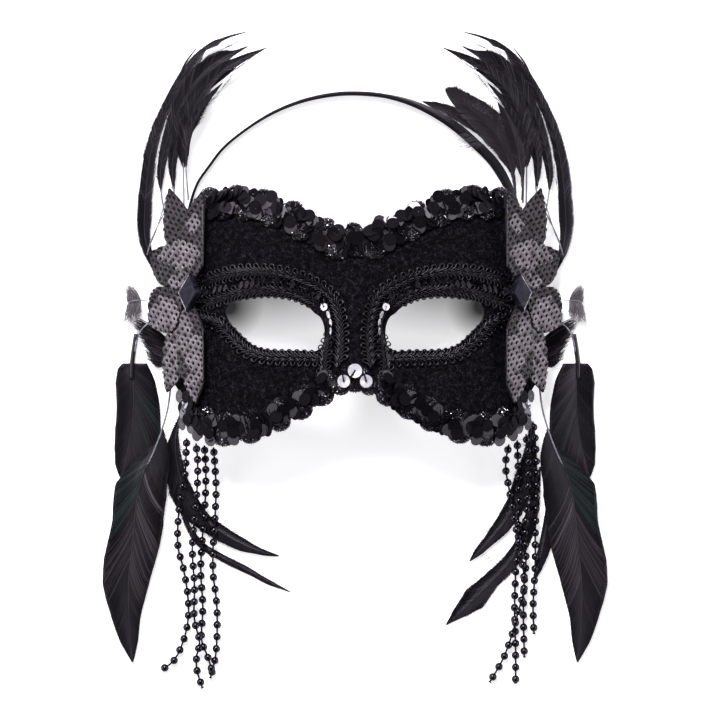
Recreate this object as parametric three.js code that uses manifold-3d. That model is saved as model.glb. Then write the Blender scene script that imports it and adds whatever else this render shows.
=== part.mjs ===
// A feather masquerade mask lying on its back, face up. Units are millimetres.
// +X is the viewer's right, +Y is the wearer's up and +Z is the way the face looks.
// The table is at Z = 0 and the mask's mirror plane is X = 0. Paired pieces are drawn once,
// for the viewer's left, and mirrored.
import * as THREE from 'three';
import { mergeVertices } from 'three/addons/utils/BufferGeometryUtils.js';
import Module from 'manifold-3d';

// Driving dimensions
const halfWidth = 92;          // half the width of the shell's curve at the temples
const curveDepth = 55;         // how far the brow stands forward of the temples' curve
const tableDrop = 7;           // how much of that curve is cut off below the table
const shellThickness = 1.6;    // moulded shell with its velvet
const ribbonLift = 0.8;        // trims and braids clear the faceted velvet by this
const trimHalfWidth = 6.2;
const trimHeight = 3;
const scallopPitch = 9;
const scallopDepth = 0.9;
const braidHeight = 1.5;
const outerBraidHalfWidth = 3.4;
const innerBraidHalfWidth = 3.1;
const beadRadius = 1.9;
const beadPitch = 5.8;
const threadRadius = 0.45;
const bandWidth = 6.5;         // across the headband, front to back
const bandThickness = 2.2;
const bladeHalfThickness = 0.45; // feather vane at its shaft
const petalThickness = 0.7;
const petalLayer = 1.3;        // height between overlapping petals
const flowerTilt = THREE.MathUtils.degToRad(42);
const flowerCentre = new THREE.Vector3(-79, 33, 25);

const clearance = 0.3;         // between pieces that touch
const originUp = 5.8;          // from the level of the eyes' lower lids up to the mask's middle

const wasm = await Module();
wasm.setup();

const mask = new THREE.Group();

const velvet = new THREE.MeshStandardMaterial({ color: 0x0c0c0e, roughness: 0.9, metalness: 0 });
const sequins = new THREE.MeshStandardMaterial({ color: 0x17171a, roughness: 0.2, metalness: 0.3 });
const braid = new THREE.MeshStandardMaterial({ color: 0x141416, roughness: 0.7, metalness: 0 });
const clearSequin = new THREE.MeshStandardMaterial({ color: 0xc9ccd4, roughness: 0.1, metalness: 0.6 });
const sequinCloth = new THREE.MeshStandardMaterial({ color: 0x5d555b, roughness: 0.4, metalness: 0.3 });
const gem = new THREE.MeshStandardMaterial({ color: 0x1b1c22, roughness: 0.1, metalness: 0.1 });
const satin = new THREE.MeshStandardMaterial({ color: 0x1a1a22, roughness: 0.5, metalness: 0 });
const feather = new THREE.MeshStandardMaterial({ color: 0x121214, roughness: 0.5, metalness: 0 });
const down = new THREE.MeshStandardMaterial({ color: 0x77717a, roughness: 0.9, metalness: 0 });
const bead = new THREE.MeshStandardMaterial({ color: 0x08080a, roughness: 0.1, metalness: 0 });

function add(name, geometry, material) {
  const mesh = new THREE.Mesh(geometry, material);
  mesh.name = name;
  mask.add(mesh);
}

// Adds a piece drawn for the left side, and its mirror image for the right.
function addPair(name, geometry, material) {
  add(`${name}_left`, geometry, material);
  add(`${name}_right`, mirrored(geometry), material);
}

function mirrored(geometry) {
  const copy = geometry.clone().scale(-1, 1, 1);
  return facingOut(copy);
}

// Turns every triangle over if the body's signed volume is negative.
function facingOut(geometry) {
  const position = geometry.getAttribute('position');
  const index = geometry.getIndex();
  const [a, b, c] = [new THREE.Vector3(), new THREE.Vector3(), new THREE.Vector3()];
  let volume = 0;
  for (let i = 0; i < index.count; i += 3) {
    a.fromBufferAttribute(position, index.getX(i));
    b.fromBufferAttribute(position, index.getX(i + 1));
    c.fromBufferAttribute(position, index.getX(i + 2));
    volume += a.dot(b.cross(c));
  }
  if (volume < 0) {
    for (let i = 0; i < index.count; i += 3) {
      const swapped = index.getX(i + 1);
      index.setX(i + 1, index.getX(i + 2));
      index.setX(i + 2, swapped);
    }
  }
  geometry.computeVertexNormals();
  return geometry;
}

// A closed body through a row of rings. Each ring has the same number of points, and a ring of
// one point ends the body in a tip.
function loft(rings) {
  const points = rings.flat();
  const starts = [];
  let next = 0;
  for (const ring of rings) {
    starts.push(next);
    next += ring.length;
  }
  const faces = [];
  for (let i = 0; i + 1 < rings.length; i++) {
    const count = Math.max(rings[i].length, rings[i + 1].length);
    for (let j = 0; j < count; j++) {
      const k = (j + 1) % count;
      const here = rings[i].length === 1 ? [starts[i], starts[i]] : [starts[i] + j, starts[i] + k];
      const there = rings[i + 1].length === 1
        ? [starts[i + 1], starts[i + 1]] : [starts[i + 1] + j, starts[i + 1] + k];
      if (here[0] !== here[1]) faces.push(here[0], here[1], there[0]);
      if (there[0] !== there[1]) faces.push(here[1], there[1], there[0]);
    }
  }
  const last = rings.length - 1;
  for (let j = 1; j + 1 < rings[0].length; j++) faces.push(starts[0], starts[0] + j + 1, starts[0] + j);
  for (let j = 1; j + 1 < rings[last].length; j++) {
    faces.push(starts[last], starts[last] + j, starts[last] + j + 1);
  }
  const geometry = new THREE.BufferGeometry();
  const numbers = points.flatMap((p) => p.toArray());
  geometry.setAttribute('position', new THREE.Float32BufferAttribute(numbers, 3));
  geometry.setIndex(faces);
  return facingOut(geometry);
}

function smoothCurve(points) {
  return new THREE.CatmullRomCurve3(points.map(([x, y, z = 0]) => new THREE.Vector3(x, y, z)));
}

// Reads a value off a short list of [fraction, value] pairs.
function along(pairs, fraction) {
  for (let i = 0; i + 1 < pairs.length; i++) {
    const [from, low] = pairs[i];
    const [to, high] = pairs[i + 1];
    if (fraction <= to) return THREE.MathUtils.mapLinear(Math.max(fraction, from), from, to, low, high);
  }
  return pairs.at(-1)[1];
}

// The mask's front surface. The shell curves round the face like a drum, with a nose ridge, hollows
// at the eyes, fuller brows and cheeks, and a forehead that leans back.
function bump(x, y, middleX, middleY, spreadX, spreadY) {
  return Math.exp(-(((x - middleX) / spreadX) ** 2) - ((y - middleY) / spreadY) ** 2);
}

function faceHeight(x, y) {
  const side = Math.abs(x);
  const drum = curveDepth * Math.sqrt(Math.max(0, 1 - (x / halfWidth) ** 2)) - tableDrop;
  const noseRise = 13 * THREE.MathUtils.smoothstep(60 - y, 0, 75);
  const nose = noseRise * Math.exp(-((x / 11) ** 2));
  const eyes = -3 * bump(side, y, 36, 17, 22, 15);
  const brows = 2.5 * bump(side, y, 38, 50, 28, 16);
  const cheeks = 2 * bump(side, y, 46, -20, 24, 16);
  const forehead = -0.004 * Math.max(0, y - 40) ** 2;
  return drum + nose + eyes + brows + cheeks + forehead;
}

function faceNormal(x, y) {
  const step = 0.05;
  const slopeX = (faceHeight(x + step, y) - faceHeight(x - step, y)) / (2 * step);
  const slopeY = (faceHeight(x, y + step) - faceHeight(x, y - step)) / (2 * step);
  return new THREE.Vector3(-slopeX, -slopeY, 1).normalize();
}

function onFace(x, y, lift) {
  return faceNormal(x, y).multiplyScalar(lift).add(new THREE.Vector3(x, y, faceHeight(x, y)));
}

// The shell: a slab bent to the face, cut to its outline and eye holes and flat at the table.
// The outline is the left half, from the middle of the top edge round to the middle of the bottom.
const shellOutline = [
  [0, 60], [-6, 57.5], [-12, 63], [-22, 68.5], [-31, 73], [-40, 76.5], [-50, 79], [-63, 79.5],
  [-73, 78.5], [-84, 70], [-94, 62], [-94, -2], [-86, -14], [-82, -22], [-79, -31], [-70, -36],
  [-60, -38.5], [-50, -37.5], [-42, -34.5], [-34, -30], [-27, -26], [-19, -21.5], [-12, -17], [-6, -13],
  [0, -12],
];
const eyeHole = [
  [-60, 20.5], [-57, 27], [-51, 29.3], [-44, 30.3], [-37, 30.3], [-30, 29], [-23, 26], [-18, 22.3],
  [-15.2, 17.5], [-14.8, 11], [-16.5, 5.5], [-21, 3.4], [-28, 3.3], [-36, 4.3], [-43, 6], [-49.5, 9],
  [-55.5, 14],
];

function solidOf(geometry) {
  geometry.deleteAttribute('normal');
  geometry.deleteAttribute('uv');
  const merged = mergeVertices(geometry, 1e-4);
  return new wasm.Manifold(new wasm.Mesh({
    numProp: 3,
    vertProperties: new Float32Array(merged.getAttribute('position').array),
    triVerts: new Uint32Array(merged.getIndex().array),
  }));
}

function geometryOf(solid) {
  const mesh = solid.getMesh();
  const geometry = new THREE.BufferGeometry();
  const corners = new Float32Array(mesh.vertProperties);
  geometry.setAttribute('position', new THREE.BufferAttribute(corners, 3));
  geometry.setIndex(new THREE.BufferAttribute(new Uint32Array(mesh.triVerts), 1));
  geometry.computeVertexNormals();
  return geometry;
}

function makeShell() {
  const columns = [];
  for (let angle = -86; angle <= 86; angle += Math.abs(angle) < 18 ? 3.6 : 7.4) columns.push(angle);
  const rows = 12;
  const [bottom, top] = [-46, 86];
  const slab = new THREE.BoxGeometry(1, 1, 1, columns.length - 1, rows, 1);
  const position = slab.getAttribute('position');
  for (let i = 0; i < position.count; i++) {
    const column = Math.round((position.getX(i) + 0.5) * (columns.length - 1));
    const x = halfWidth * Math.sin(THREE.MathUtils.degToRad(columns[column]));
    const y = bottom + (position.getY(i) + 0.5) * (top - bottom);
    const point = onFace(x, y, position.getZ(i) > 0 ? 0 : -shellThickness);
    position.setXYZ(i, point.x, point.y, point.z);
  }
  const right = shellOutline.slice(1, -1).reverse().map(([x, y]) => [-x, y]);
  const outline = new THREE.Shape([...shellOutline, ...right].map(([x, y]) => new THREE.Vector2(x, y)));
  for (const side of [1, -1]) {
    outline.holes.push(new THREE.Path(eyeHole.map(([x, y]) => new THREE.Vector2(side * x, y))));
  }
  const cutter = new THREE.ExtrudeGeometry(outline, { depth: 100, bevelEnabled: false });
  return geometryOf(solidOf(slab).intersect(solidOf(cutter)));
}

add('mask_shell', makeShell(), velvet);

// A strip sewn on the face along a line of [x, y] points: a low rounded band with scalloped edges.
function strip(points, halfWidths, height, steps, scallops = 0) {
  const line = smoothCurve(points);
  const rings = [];
  for (let i = 0; i <= steps; i++) {
    const centre = line.getPointAt(i / steps);
    const tangent = line.getTangentAt(i / steps);
    const side = new THREE.Vector2(-tangent.y, tangent.x).normalize();
    const wave = scallops * Math.abs(Math.sin((Math.PI * i * line.getLength()) / steps / scallopPitch));
    const half = along(halfWidths, i / steps) + wave;
    const at = (across, lift) => onFace(centre.x + side.x * across, centre.y + side.y * across, lift);
    rings.push([
      at(-half, ribbonLift), at(-0.65 * half, ribbonLift + height),
      at(0.65 * half, ribbonLift + height), at(half, ribbonLift),
    ]);
  }
  return loft(rings);
}

// Trims: the left half of each middle line, from the temple to the middle.
const topTrimLine = [
  [-70.5, 74.5], [-62, 75.8], [-52, 75.3], [-44, 73.5], [-36, 70.5], [-28, 66.8], [-20, 62.5],
  [-12, 58.3], [-5.5, 55.8], [0, 57.5],
];
const bottomTrimLine = [
  [-79.5, -20], [-77.5, -27], [-72, -31], [-65, -33], [-57, -33.3], [-49, -31.8], [-41, -28.8],
  [-33, -24.5], [-25, -20.5], [-17, -15.8], [-10, -11.5], [-4, -9.3], [0, -9],
];
const bothHalves = (line) => [...line, ...line.slice(0, -1).reverse().map(([x, y]) => [-x, y])];

add('sequin_trim_top', strip(bothHalves(topTrimLine), [[0, trimHalfWidth], [1, trimHalfWidth]],
  trimHeight, 53, scallopDepth), sequins);
add('sequin_trim_bottom', strip(bothHalves(bottomTrimLine),
  [[0, 4.5], [0.08, trimHalfWidth], [0.42, 5], [0.5, 4.2], [0.58, 5], [0.92, trimHalfWidth], [1, 4.5]],
  trimHeight, 61, scallopDepth), sequins);

// Gimp braid round the eyes, in three lengths on each side
const outerBraidLine = [
  [-74.5, 36], [-66, 39.8], [-58, 42.2], [-50, 43], [-42, 42.6], [-34, 41.2], [-27, 39.6], [-20, 36.8],
  [-13.8, 32.3], [-9.4, 26.5], [-6.8, 19.5], [-5.8, 12], [-6, 5], [-6.5, -1],
];
const innerBraidUpperLine = [
  [-73.5, 24.5], [-66, 28.5], [-58.5, 32.3], [-51, 33.9], [-43.5, 34.3], [-36, 33.8], [-28, 31.5],
  [-20.5, 27.5], [-14.8, 21.8], [-12.6, 15.3], [-13, 8], [-14, 1],
];
const innerBraidLowerLine = [
  [-18.2, 0.9], [-27, 0.3], [-35, 1], [-43, 2.4], [-50, 5], [-56.5, 9.6], [-61.5, 14.3], [-66.5, 18.2],
  [-73.5, 17.6],
];
const even = (half) => [[0, half], [1, half]];

addPair('outer_braid', strip(outerBraidLine, even(outerBraidHalfWidth), braidHeight, 24), braid);
addPair('inner_braid_upper',
  strip(innerBraidUpperLine, even(innerBraidHalfWidth), braidHeight, 23), braid);
addPair('inner_braid_lower',
  strip(innerBraidLowerLine, even(innerBraidHalfWidth), braidHeight, 15), braid);

// Three cupped sequins sewn on the trim at the nose
function noseSequin(name, x, y, radius) {
  const profile = [[0.6, 0], [radius, 0.6], [radius, 0.9], [0.6, 0.35], [0.6, 0]];
  const disc = new THREE.LatheGeometry(profile.map(([r, h]) => new THREE.Vector2(r, h)), 9);
  disc.rotateX(Math.PI / 2);
  disc.deleteAttribute('normal');
  disc.deleteAttribute('uv');
  const cup = mergeVertices(disc, 1e-4);
  const straightOut = new THREE.Vector3(0, 0, 1);
  const facing = new THREE.Quaternion().setFromUnitVectors(straightOut, faceNormal(x, y));
  cup.applyQuaternion(facing);
  cup.translate(...onFace(x, y, ribbonLift + trimHeight + clearance).toArray());
  add(name, facingOut(cup), clearSequin);
}

noseSequin('nose_sequin_middle', 0.5, -5.2, 3.3);
noseSequin('nose_sequin_left', -5.4, -10.4, 3);
noseSequin('nose_sequin_right', 5.4, -10.4, 3);

// The flower's own plane leans out with the side of the face. A place on it is given by how far out
// and how far up it is from the jewel, and by its height off the plane.
const outward = new THREE.Vector3(-Math.cos(flowerTilt), 0, -Math.sin(flowerTilt));
const upward = new THREE.Vector3(0, 1, 0);
const flowerNormal = new THREE.Vector3(-Math.sin(flowerTilt), 0, Math.cos(flowerTilt));

function onFlower(out, up, height) {
  return flowerCentre.clone().addScaledVector(outward, out).addScaledVector(upward, up)
    .addScaledVector(flowerNormal, height);
}

// A pointed petal of stiff sequin cloth, a little hollow along its middle.
function petal(direction, length, halfBreadth, layer) {
  const angle = THREE.MathUtils.degToRad(direction);
  const [alongX, alongY] = [Math.cos(angle), Math.sin(angle)];
  const breadths = [[0, 0.14], [0.2, 0.62], [0.42, 1], [0.62, 0.94], [0.8, 0.62], [0.93, 0.24],
  [1, 0.02]];
  const rings = breadths.map(([fraction, share]) => {
    const reach = 3.5 + fraction * (length - 3.5);
    const half = share * halfBreadth;
    const hollow = 0.3 * share;
    const base = layer * petalLayer;
    const at = (across, height) => onFlower(
      alongX * reach - alongY * across, alongY * reach + alongX * across, base + height);
    return [at(half, petalThickness), at(0, petalThickness - hollow), at(-half, petalThickness),
      at(-half, 0), at(0, -hollow), at(half, 0)];
  });
  return loft(rings);
}

// Each petal is its direction from straight out, its length, half its breadth and its layer.
const petals = [
  [97, 48, 9.5, 2], [74, 50, 11.5, 1], [35, 34, 12.5, 0], [-27, 32, 12.5, 2], [-72, 51, 11.5, 1],
  [-95, 54, 9, 2],
];
petals.forEach(([direction, length, halfBreadth, layer], i) => {
  addPair(`petal_${i + 1}`, petal(direction, length, halfBreadth, layer), sequinCloth);
});

// The jewel: a rhombus cut with a flat table
function jewel() {
  const base = 3 * petalLayer + petalThickness;
  const rhombus = (share, height) => [
    onFlower(0, 8.5 * share, height), onFlower(6 * share, 0, height),
    onFlower(0, -8.5 * share, height), onFlower(-6 * share, 0, height),
  ];
  return loft([rhombus(0.85, base), rhombus(1, base + 1.2), rhombus(0.55, base + 3.6)]);
}

addPair('jewel', jewel(), gem);

// The headband: a flat band on its edge on the table, its ends tucked inside the shell's sides.
// It is turned a little on the viewer's right, so more of its width shows there.
const bandLine = [
  [-85, 46], [-83, 62], [-80, 76], [-76.5, 86], [-71, 94], [-64, 103], [-53, 112], [-42, 119],
  [-31, 124], [-20, 127.3], [-7, 129.3], [5, 129.3], [17, 127.8], [29, 124.3], [41, 118.5], [50, 112.5],
  [58, 105.5], [67, 96.5], [72.5, 88], [77, 78], [81.5, 63], [85, 46],
];
function headband() {
  const line = smoothCurve(bandLine);
  const turns = [[0, 0], [0.55, 0], [0.7, 38], [0.82, 42], [0.93, 8], [1, 0]];
  const steps = 30;
  const rings = [];
  for (let i = 0; i <= steps; i++) {
    const centre = line.getPointAt(i / steps).setZ(bandWidth / 2);
    const tangent = line.getTangentAt(i / steps);
    const turn = THREE.MathUtils.degToRad(along(turns, i / steps));
    const across = new THREE.Vector3(-tangent.y, tangent.x, 0).normalize();
    const thick = across.clone().multiplyScalar(Math.cos(turn)).setZ(-Math.sin(turn));
    const wide = across.clone().multiplyScalar(Math.sin(turn)).setZ(Math.cos(turn));
    const corner = (t, w) => centre.clone().addScaledVector(thick, t * bandThickness / 2)
      .addScaledVector(wide, w * bandWidth / 2);
    const ring = [corner(1, 1), corner(-1, 1), corner(-1, -1), corner(1, -1)];
    const lowest = Math.min(...ring.map((p) => p.z));
    rings.push(ring.map((p) => p.setZ(p.z - lowest)));
  }
  return loft(rings);
}

add('headband', headband(), satin);

// A feather: a shaft through [x, y, z] points with a thin vane. The vane is a list of
// [fraction of the shaft, breadth to the left, breadth to the right], left being the left hand
// of someone who walks from root to tip.
function plume(shaft, vane, steps = 9) {
  const line = smoothCurve(shaft);
  const lefts = vane.map(([fraction, left]) => [fraction, left]);
  const rights = vane.map(([fraction, , right]) => [fraction, right]);
  const rings = [];
  for (let i = 0; i <= steps; i++) {
    const fraction = i / steps;
    const centre = line.getPointAt(fraction);
    const tangent = line.getTangentAt(fraction);
    const side = new THREE.Vector3(-tangent.y, tangent.x, 0).normalize();
    const thin = bladeHalfThickness * (1 - 0.6 * fraction);
    rings.push([
      centre.clone().addScaledVector(side, along(lefts, fraction)),
      centre.clone().setZ(centre.z + thin),
      centre.clone().addScaledVector(side, -along(rights, fraction)),
      centre.clone().setZ(centre.z - thin),
    ]);
  }
  rings.push([line.getPointAt(1).addScaledVector(line.getTangentAt(1), 0.5)]);
  return loft(rings);
}

const quill = 0.45;

// The fan above each flower, outermost first
const upperFeathers = [
  {
    shaft: [[-97, 42, 2.5], [-102, 60, 2.5], [-102, 75, 3], [-101, 88, 3], [-99, 101, 3.5],
      [-95.5, 113, 4], [-90, 126, 4.5], [-84, 138, 5], [-76, 149, 5], [-64, 156, 5.5], [-52, 159.5, 6]],
    vane: [[0, 0.6, 0.6], [0.08, 2.2, 1.2], [0.2, 3, 3], [0.5, 3.2, 3.4], [0.7, 2.2, 3.6],
      [0.85, 1, 2.5], [1, 0.2, 0.2]],
  },
  {
    shaft: [[-91.5, 67, 5], [-94, 80, 5], [-94.5, 90, 5.3], [-92.5, 102, 5.6], [-89, 114, 6],
      [-84.5, 124, 6.5], [-77, 136, 7], [-67, 145, 7.5], [-51.5, 152.5, 8]],
    vane: [[0, quill, quill], [0.15, quill, quill], [0.22, 1.6, 1.6], [0.45, 2.4, 2.6], [0.7, 3, 4],
      [0.88, 1.4, 2.6], [1, 0.2, 0.2]],
  },
  {
    shaft: [[-87, 72, 7], [-88, 83, 7], [-88.5, 97, 7.4], [-86, 107, 7.8], [-81.5, 119, 8.2],
      [-73, 131, 8.8], [-57.5, 142, 9.5]],
    vane: [[0, quill, quill], [0.12, 0.6, 0.6], [0.25, 1.6, 1.6], [0.5, 3, 3.4], [0.75, 3.4, 4],
      [0.9, 1.6, 2.4], [1, 0.2, 0.2]],
  },
  {
    shaft: [[-83, 75, 9], [-83.2, 93, 9], [-83, 103, 9.5], [-80.5, 115, 10], [-75, 128, 10.5],
      [-63, 141, 11.5], [-42.5, 151.5, 12.5]],
    vane: [[0, quill, quill], [0.19, 0.6, 0.6], [0.3, 3, 1.6], [0.5, 4.2, 4.2], [0.7, 4, 4.4],
      [0.87, 1.6, 2], [1, 0.2, 0.2]],
  },
  {
    shaft: [[-80.8, 77.5, 11], [-82, 98, 11], [-80, 109, 11.4], [-76, 118, 12], [-71, 126, 12.8],
      [-64, 134.5, 13.8]],
    vane: [[0, quill, quill], [0.25, 0.6, 0.6], [0.36, 2, 1.4], [0.55, 3, 3.8], [0.75, 2.6, 4.2],
      [0.9, 1.2, 2], [1, 0.2, 0.2]],
  },
];
upperFeathers.forEach(({ shaft, vane }, i) => {
  addPair(`upper_feather_${i + 1}`, plume(shaft, vane), feather);
});

// The two big feathers that hang from each side
const longFeathers = [
  {
    shaft: [[-98, 20, 2.4], [-104, 14.5, 2.2], [-107.3, 6, 2], [-107.8, -3, 2], [-107.5, -15, 2],
      [-108.3, -31, 2], [-111, -45, 2], [-114.3, -57, 2]],
    vane: [[0, 0.7, 0.7], [0.29, 0.8, 0.8], [0.31, 8.5, 6.5], [0.42, 11.3, 9], [0.55, 12, 8.4],
      [0.72, 10.5, 8], [0.88, 5, 4.5], [1, 0.3, 0.3]],
    steps: 14,
  },
  {
    shaft: [[-89.5, -13, 7], [-91, -24, 6], [-94.5, -36, 5], [-98.5, -46, 4.2], [-103, -56, 3.6],
      [-106.3, -70, 3], [-108, -88, 2.6], [-110, -106, 2.4], [-110, -124, 2.2], [-108, -147.5, 2]],
    vane: [[0, quill, quill], [0.24, 0.5, 0.5], [0.29, 5, 5], [0.38, 12, 11.5], [0.5, 14, 10.5],
      [0.64, 11.5, 12.5], [0.72, 9.5, 12], [0.84, 5.5, 8], [0.92, 3.6, 5], [1, 0.2, 0.2]],
    steps: 16,
  },
];
longFeathers.forEach(({ shaft, vane, steps }, i) => {
  addPair(`long_feather_${i + 1}`, plume(shaft, vane, steps), feather);
});

// Narrower feathers that sweep in under the beads, two on the left and three on the right
const innerFeathers = {
  inner_feather_1_left: {
    shaft: [[-84.5, -26, 7], [-87, -37, 4.5], [-86.5, -50, 2.8], [-83, -63, 2.3], [-76.5, -74.5, 2.2],
      [-67, -82.5, 2.2], [-56, -89, 2.2], [-46, -93, 2.2], [-36, -95.5, 2.2]],
    vane: [[0, 0.6, 0.6], [0.12, 1.5, 1.5], [0.3, 3.5, 4.5], [0.45, 4, 5.5], [0.6, 3.6, 5],
      [0.8, 3, 3.4], [0.92, 1.4, 1.6], [1, 0.2, 0.2]],
  },
  inner_feather_2_left: {
    shaft: [[-87, -62, 0.8], [-82, -79, 0.8], [-75, -89.5, 0.8], [-65, -96, 0.8], [-53, -102, 0.8],
      [-42, -108, 0.8], [-31, -113, 0.8]],
    vane: [[0, 0.6, 0.6], [0.3, 1.6, 1.8], [0.6, 2, 2], [0.85, 1.4, 1.4], [1, 0.2, 0.2]],
  },
  inner_feather_1_right: {
    shaft: [[84.5, -26, 7], [85.5, -38, 4.5], [84, -52, 2.8], [80, -66, 2.3], [73, -78.5, 2.2],
      [65, -88, 2.2], [55.5, -98, 2.2]],
    vane: [[0, 0.6, 0.6], [0.15, 2, 2], [0.4, 6, 6], [0.6, 5, 5], [0.8, 3.6, 3.8], [0.94, 1.6, 2],
      [1, 0.3, 0.3]],
  },
  inner_feather_2_right: {
    shaft: [[90, -52, 0.8], [86.5, -72, 0.8], [81.5, -88, 0.8], [75, -98.5, 0.8], [66, -108, 0.8],
      [56, -118, 0.8], [44, -129, 0.8]],
    vane: [[0, 0.6, 0.6], [0.2, 3, 3], [0.5, 4.5, 4], [0.66, 4, 5], [0.8, 6.5, 6.5], [0.92, 2.6, 3],
      [1, 0.2, 0.2]],
  },
  inner_feather_3_right: {
    shaft: [[94, -42, 3.4], [95, -55, 2.8], [94.5, -70, 2.4], [92.5, -85, 2.2], [89.5, -98, 2.2],
      [86.5, -108.5, 2.2]],
    vane: [[0, 0.5, 0.5], [0.25, 1.5, 1.5], [0.5, 3.5, 2], [0.75, 4.2, 2.4], [0.9, 2.4, 1.6],
      [1, 0.3, 0.3]],
  },
};
for (const [name, { shaft, vane }] of Object.entries(innerFeathers)) {
  add(name, plume(shaft, vane), feather);
}

// Three feathers by the headband, on the viewer's right only
const bandFeathers = [
  {
    shaft: [[78, 77.5, 13], [76.5, 90, 11.5], [73, 101, 11], [66, 111.5, 11], [56.5, 121, 11.5],
      [43.5, 132, 12]],
    vane: [[0, 0.6, 0.6], [0.2, 1.2, 1.2], [0.35, 4, 5.5], [0.55, 5.8, 6.5], [0.75, 5, 5],
      [0.9, 2.4, 3], [1, 0.3, 0.3]],
  },
  {
    shaft: [[81.3, 76, 15], [81, 88, 14], [79.5, 99, 13.5], [77, 109, 13.5], [73.5, 118, 14],
      [69, 125, 15]],
    vane: [[0, 0.5, 0.5], [0.3, 1, 1], [0.5, 2, 2], [0.75, 2.2, 2], [1, 0.3, 0.3]],
  },
  {
    shaft: [[72, 98, 8.5], [64, 108, 8.5], [55, 115.5, 8.5], [45, 121.5, 8.7], [32.5, 125.5, 9]],
    vane: [[0, 0.5, 0.5], [0.3, 2, 2], [0.6, 3.6, 3], [0.85, 2.4, 2], [1, 0.3, 0.3]],
  },
];
bandFeathers.forEach(({ shaft, vane }, i) => add(`band_feather_${i + 1}`, plume(shaft, vane), feather));

// The small grey tuft beside each flower
function tuft() {
  const line = smoothCurve([[-109, 37.5, 5.5], [-108, 31, 5.5], [-107, 25, 5.5], [-108, 18.5, 5.5]]);
  const fullness = [[0, 0.8], [0.25, 2.4], [0.5, 3.6], [0.75, 3.2], [1, 1.6]];
  const rings = fullness.map(([fraction, half]) => {
    const centre = line.getPointAt(fraction);
    return [0, 1, 2, 3, 4, 5].map((i) => {
      const angle = (i * Math.PI) / 3;
      return new THREE.Vector3(half * Math.cos(angle), 0, 0.55 * half * Math.sin(angle)).add(centre);
    });
  });
  return loft(rings);
}

addPair('downy_tuft', tuft(), down);

// A strand of round beads on a thread, along a line of [x, y, z] points. Each bead is a ring of
// its full radius between two of the thread's.
function beadStrand(points) {
  const line = smoothCurve(points);
  const length = line.getLength();
  const count = Math.round(length / beadPitch);
  const rings = [];
  const ringAt = (distance, radius) => {
    const fraction = THREE.MathUtils.clamp(distance / length, 0, 1);
    const centre = line.getPointAt(fraction);
    centre.z = Math.max(centre.z, beadRadius);
    const tangent = line.getTangentAt(fraction);
    const side = new THREE.Vector3(-tangent.y, tangent.x, 0).normalize();
    const over = tangent.clone().cross(side).normalize();
    rings.push([0, 1, 2, 3].map((i) => {
      const angle = (i * Math.PI) / 2;
      return centre.clone().addScaledVector(side, radius * Math.cos(angle))
        .addScaledVector(over, radius * Math.sin(angle));
    }));
  };
  ringAt(0, threadRadius);
  for (let i = 0; i < count; i++) {
    ringAt((i + 0.5) * beadPitch, beadRadius);
    ringAt((i + 1) * beadPitch, threadRadius);
  }
  return loft(rings);
}

const beadStrands = {
  bead_strand_1_left: [[-81.5, -38, 15], [-82, -46, 9], [-82.5, -55, 5.6], [-84.5, -65, 5],
    [-86, -79, 5], [-86, -91, 4.6], [-83.5, -101, 2.6], [-81.5, -113, 2], [-81, -124, 2],
    [-83, -135, 2], [-88, -146, 2], [-93, -150, 2]],
  bead_strand_2_left: [[-77, -40.5, 15], [-76.3, -49, 11], [-76.5, -60, 8.8], [-77.5, -72, 8.6],
    [-79, -92, 8], [-78, -109, 6.4], [-78, -126, 6], [-75.5, -137, 6], [-77, -144, 3.4], [-77, -150, 2],
    [-74, -160, 2]],
  bead_strand_3_left: [[-73, -41.5, 15], [-72.5, -51, 7.5], [-72.5, -62, 5], [-73, -72, 5],
    [-74.5, -91, 5], [-75, -103, 2.6], [-74, -120, 2], [-74.5, -137, 2], [-72, -143, 3.6],
    [-70, -149, 6], [-69, -154, 6]],
  bead_strand_4_left: [[-68.5, -42.5, 16], [-68, -51, 9], [-67.5, -62, 5.4], [-68, -76, 5],
    [-69, -92, 5], [-69, -104, 2.2], [-67.5, -116, 2], [-67, -128, 2], [-68, -145, 2], [-71, -157, 2]],
  bead_strand_1_right: [[74.5, -41, 15], [73, -51, 9.5], [75, -64, 8.2], [78, -81, 8.6], [81, -97, 8.4],
    [82, -111, 6.2], [79, -123, 6.2], [76, -134, 4], [72, -145, 2], [64, -159, 2]],
  bead_strand_2_right: [[78.5, -39, 15], [79, -49, 9], [79.5, -60, 5], [79.5, -74, 5], [79, -90, 5],
    [78, -104, 2.4], [77.5, -121, 2], [78, -140, 2], [78, -157, 2]],
  bead_strand_3_right: [[82.8, -36, 14], [84, -47, 9.2], [84, -57, 8.8], [83.5, -70, 8.4],
    [82.5, -85, 5.2], [83, -98, 4.8], [82, -111, 2.2], [81.8, -123, 2], [82, -134, 2], [82.3, -146, 2]],
  bead_strand_4_right: [[86.2, -30, 11], [87.5, -40, 6.6], [88, -51, 5.6], [88, -68, 4.6],
    [87.5, -85, 4.4], [87.5, -98, 5], [87, -109, 4.8], [86.5, -120, 2.4], [87, -134, 2]],
};
for (const [name, points] of Object.entries(beadStrands)) add(name, beadStrand(points), bead);

// The origin is on the table below the middle of the mask, found without its loose bead strands.
mask.position.y = -originUp;

export default mask;
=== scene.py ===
# A feather masquerade mask that lies on its back on a pale table, face up.
# Lists of places are in millimetres, measured as the mask was drawn, with X = 0 on its mirror line.
import math
import random
import bpy
import numpy as np
from mathutils import Matrix, Vector


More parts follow.
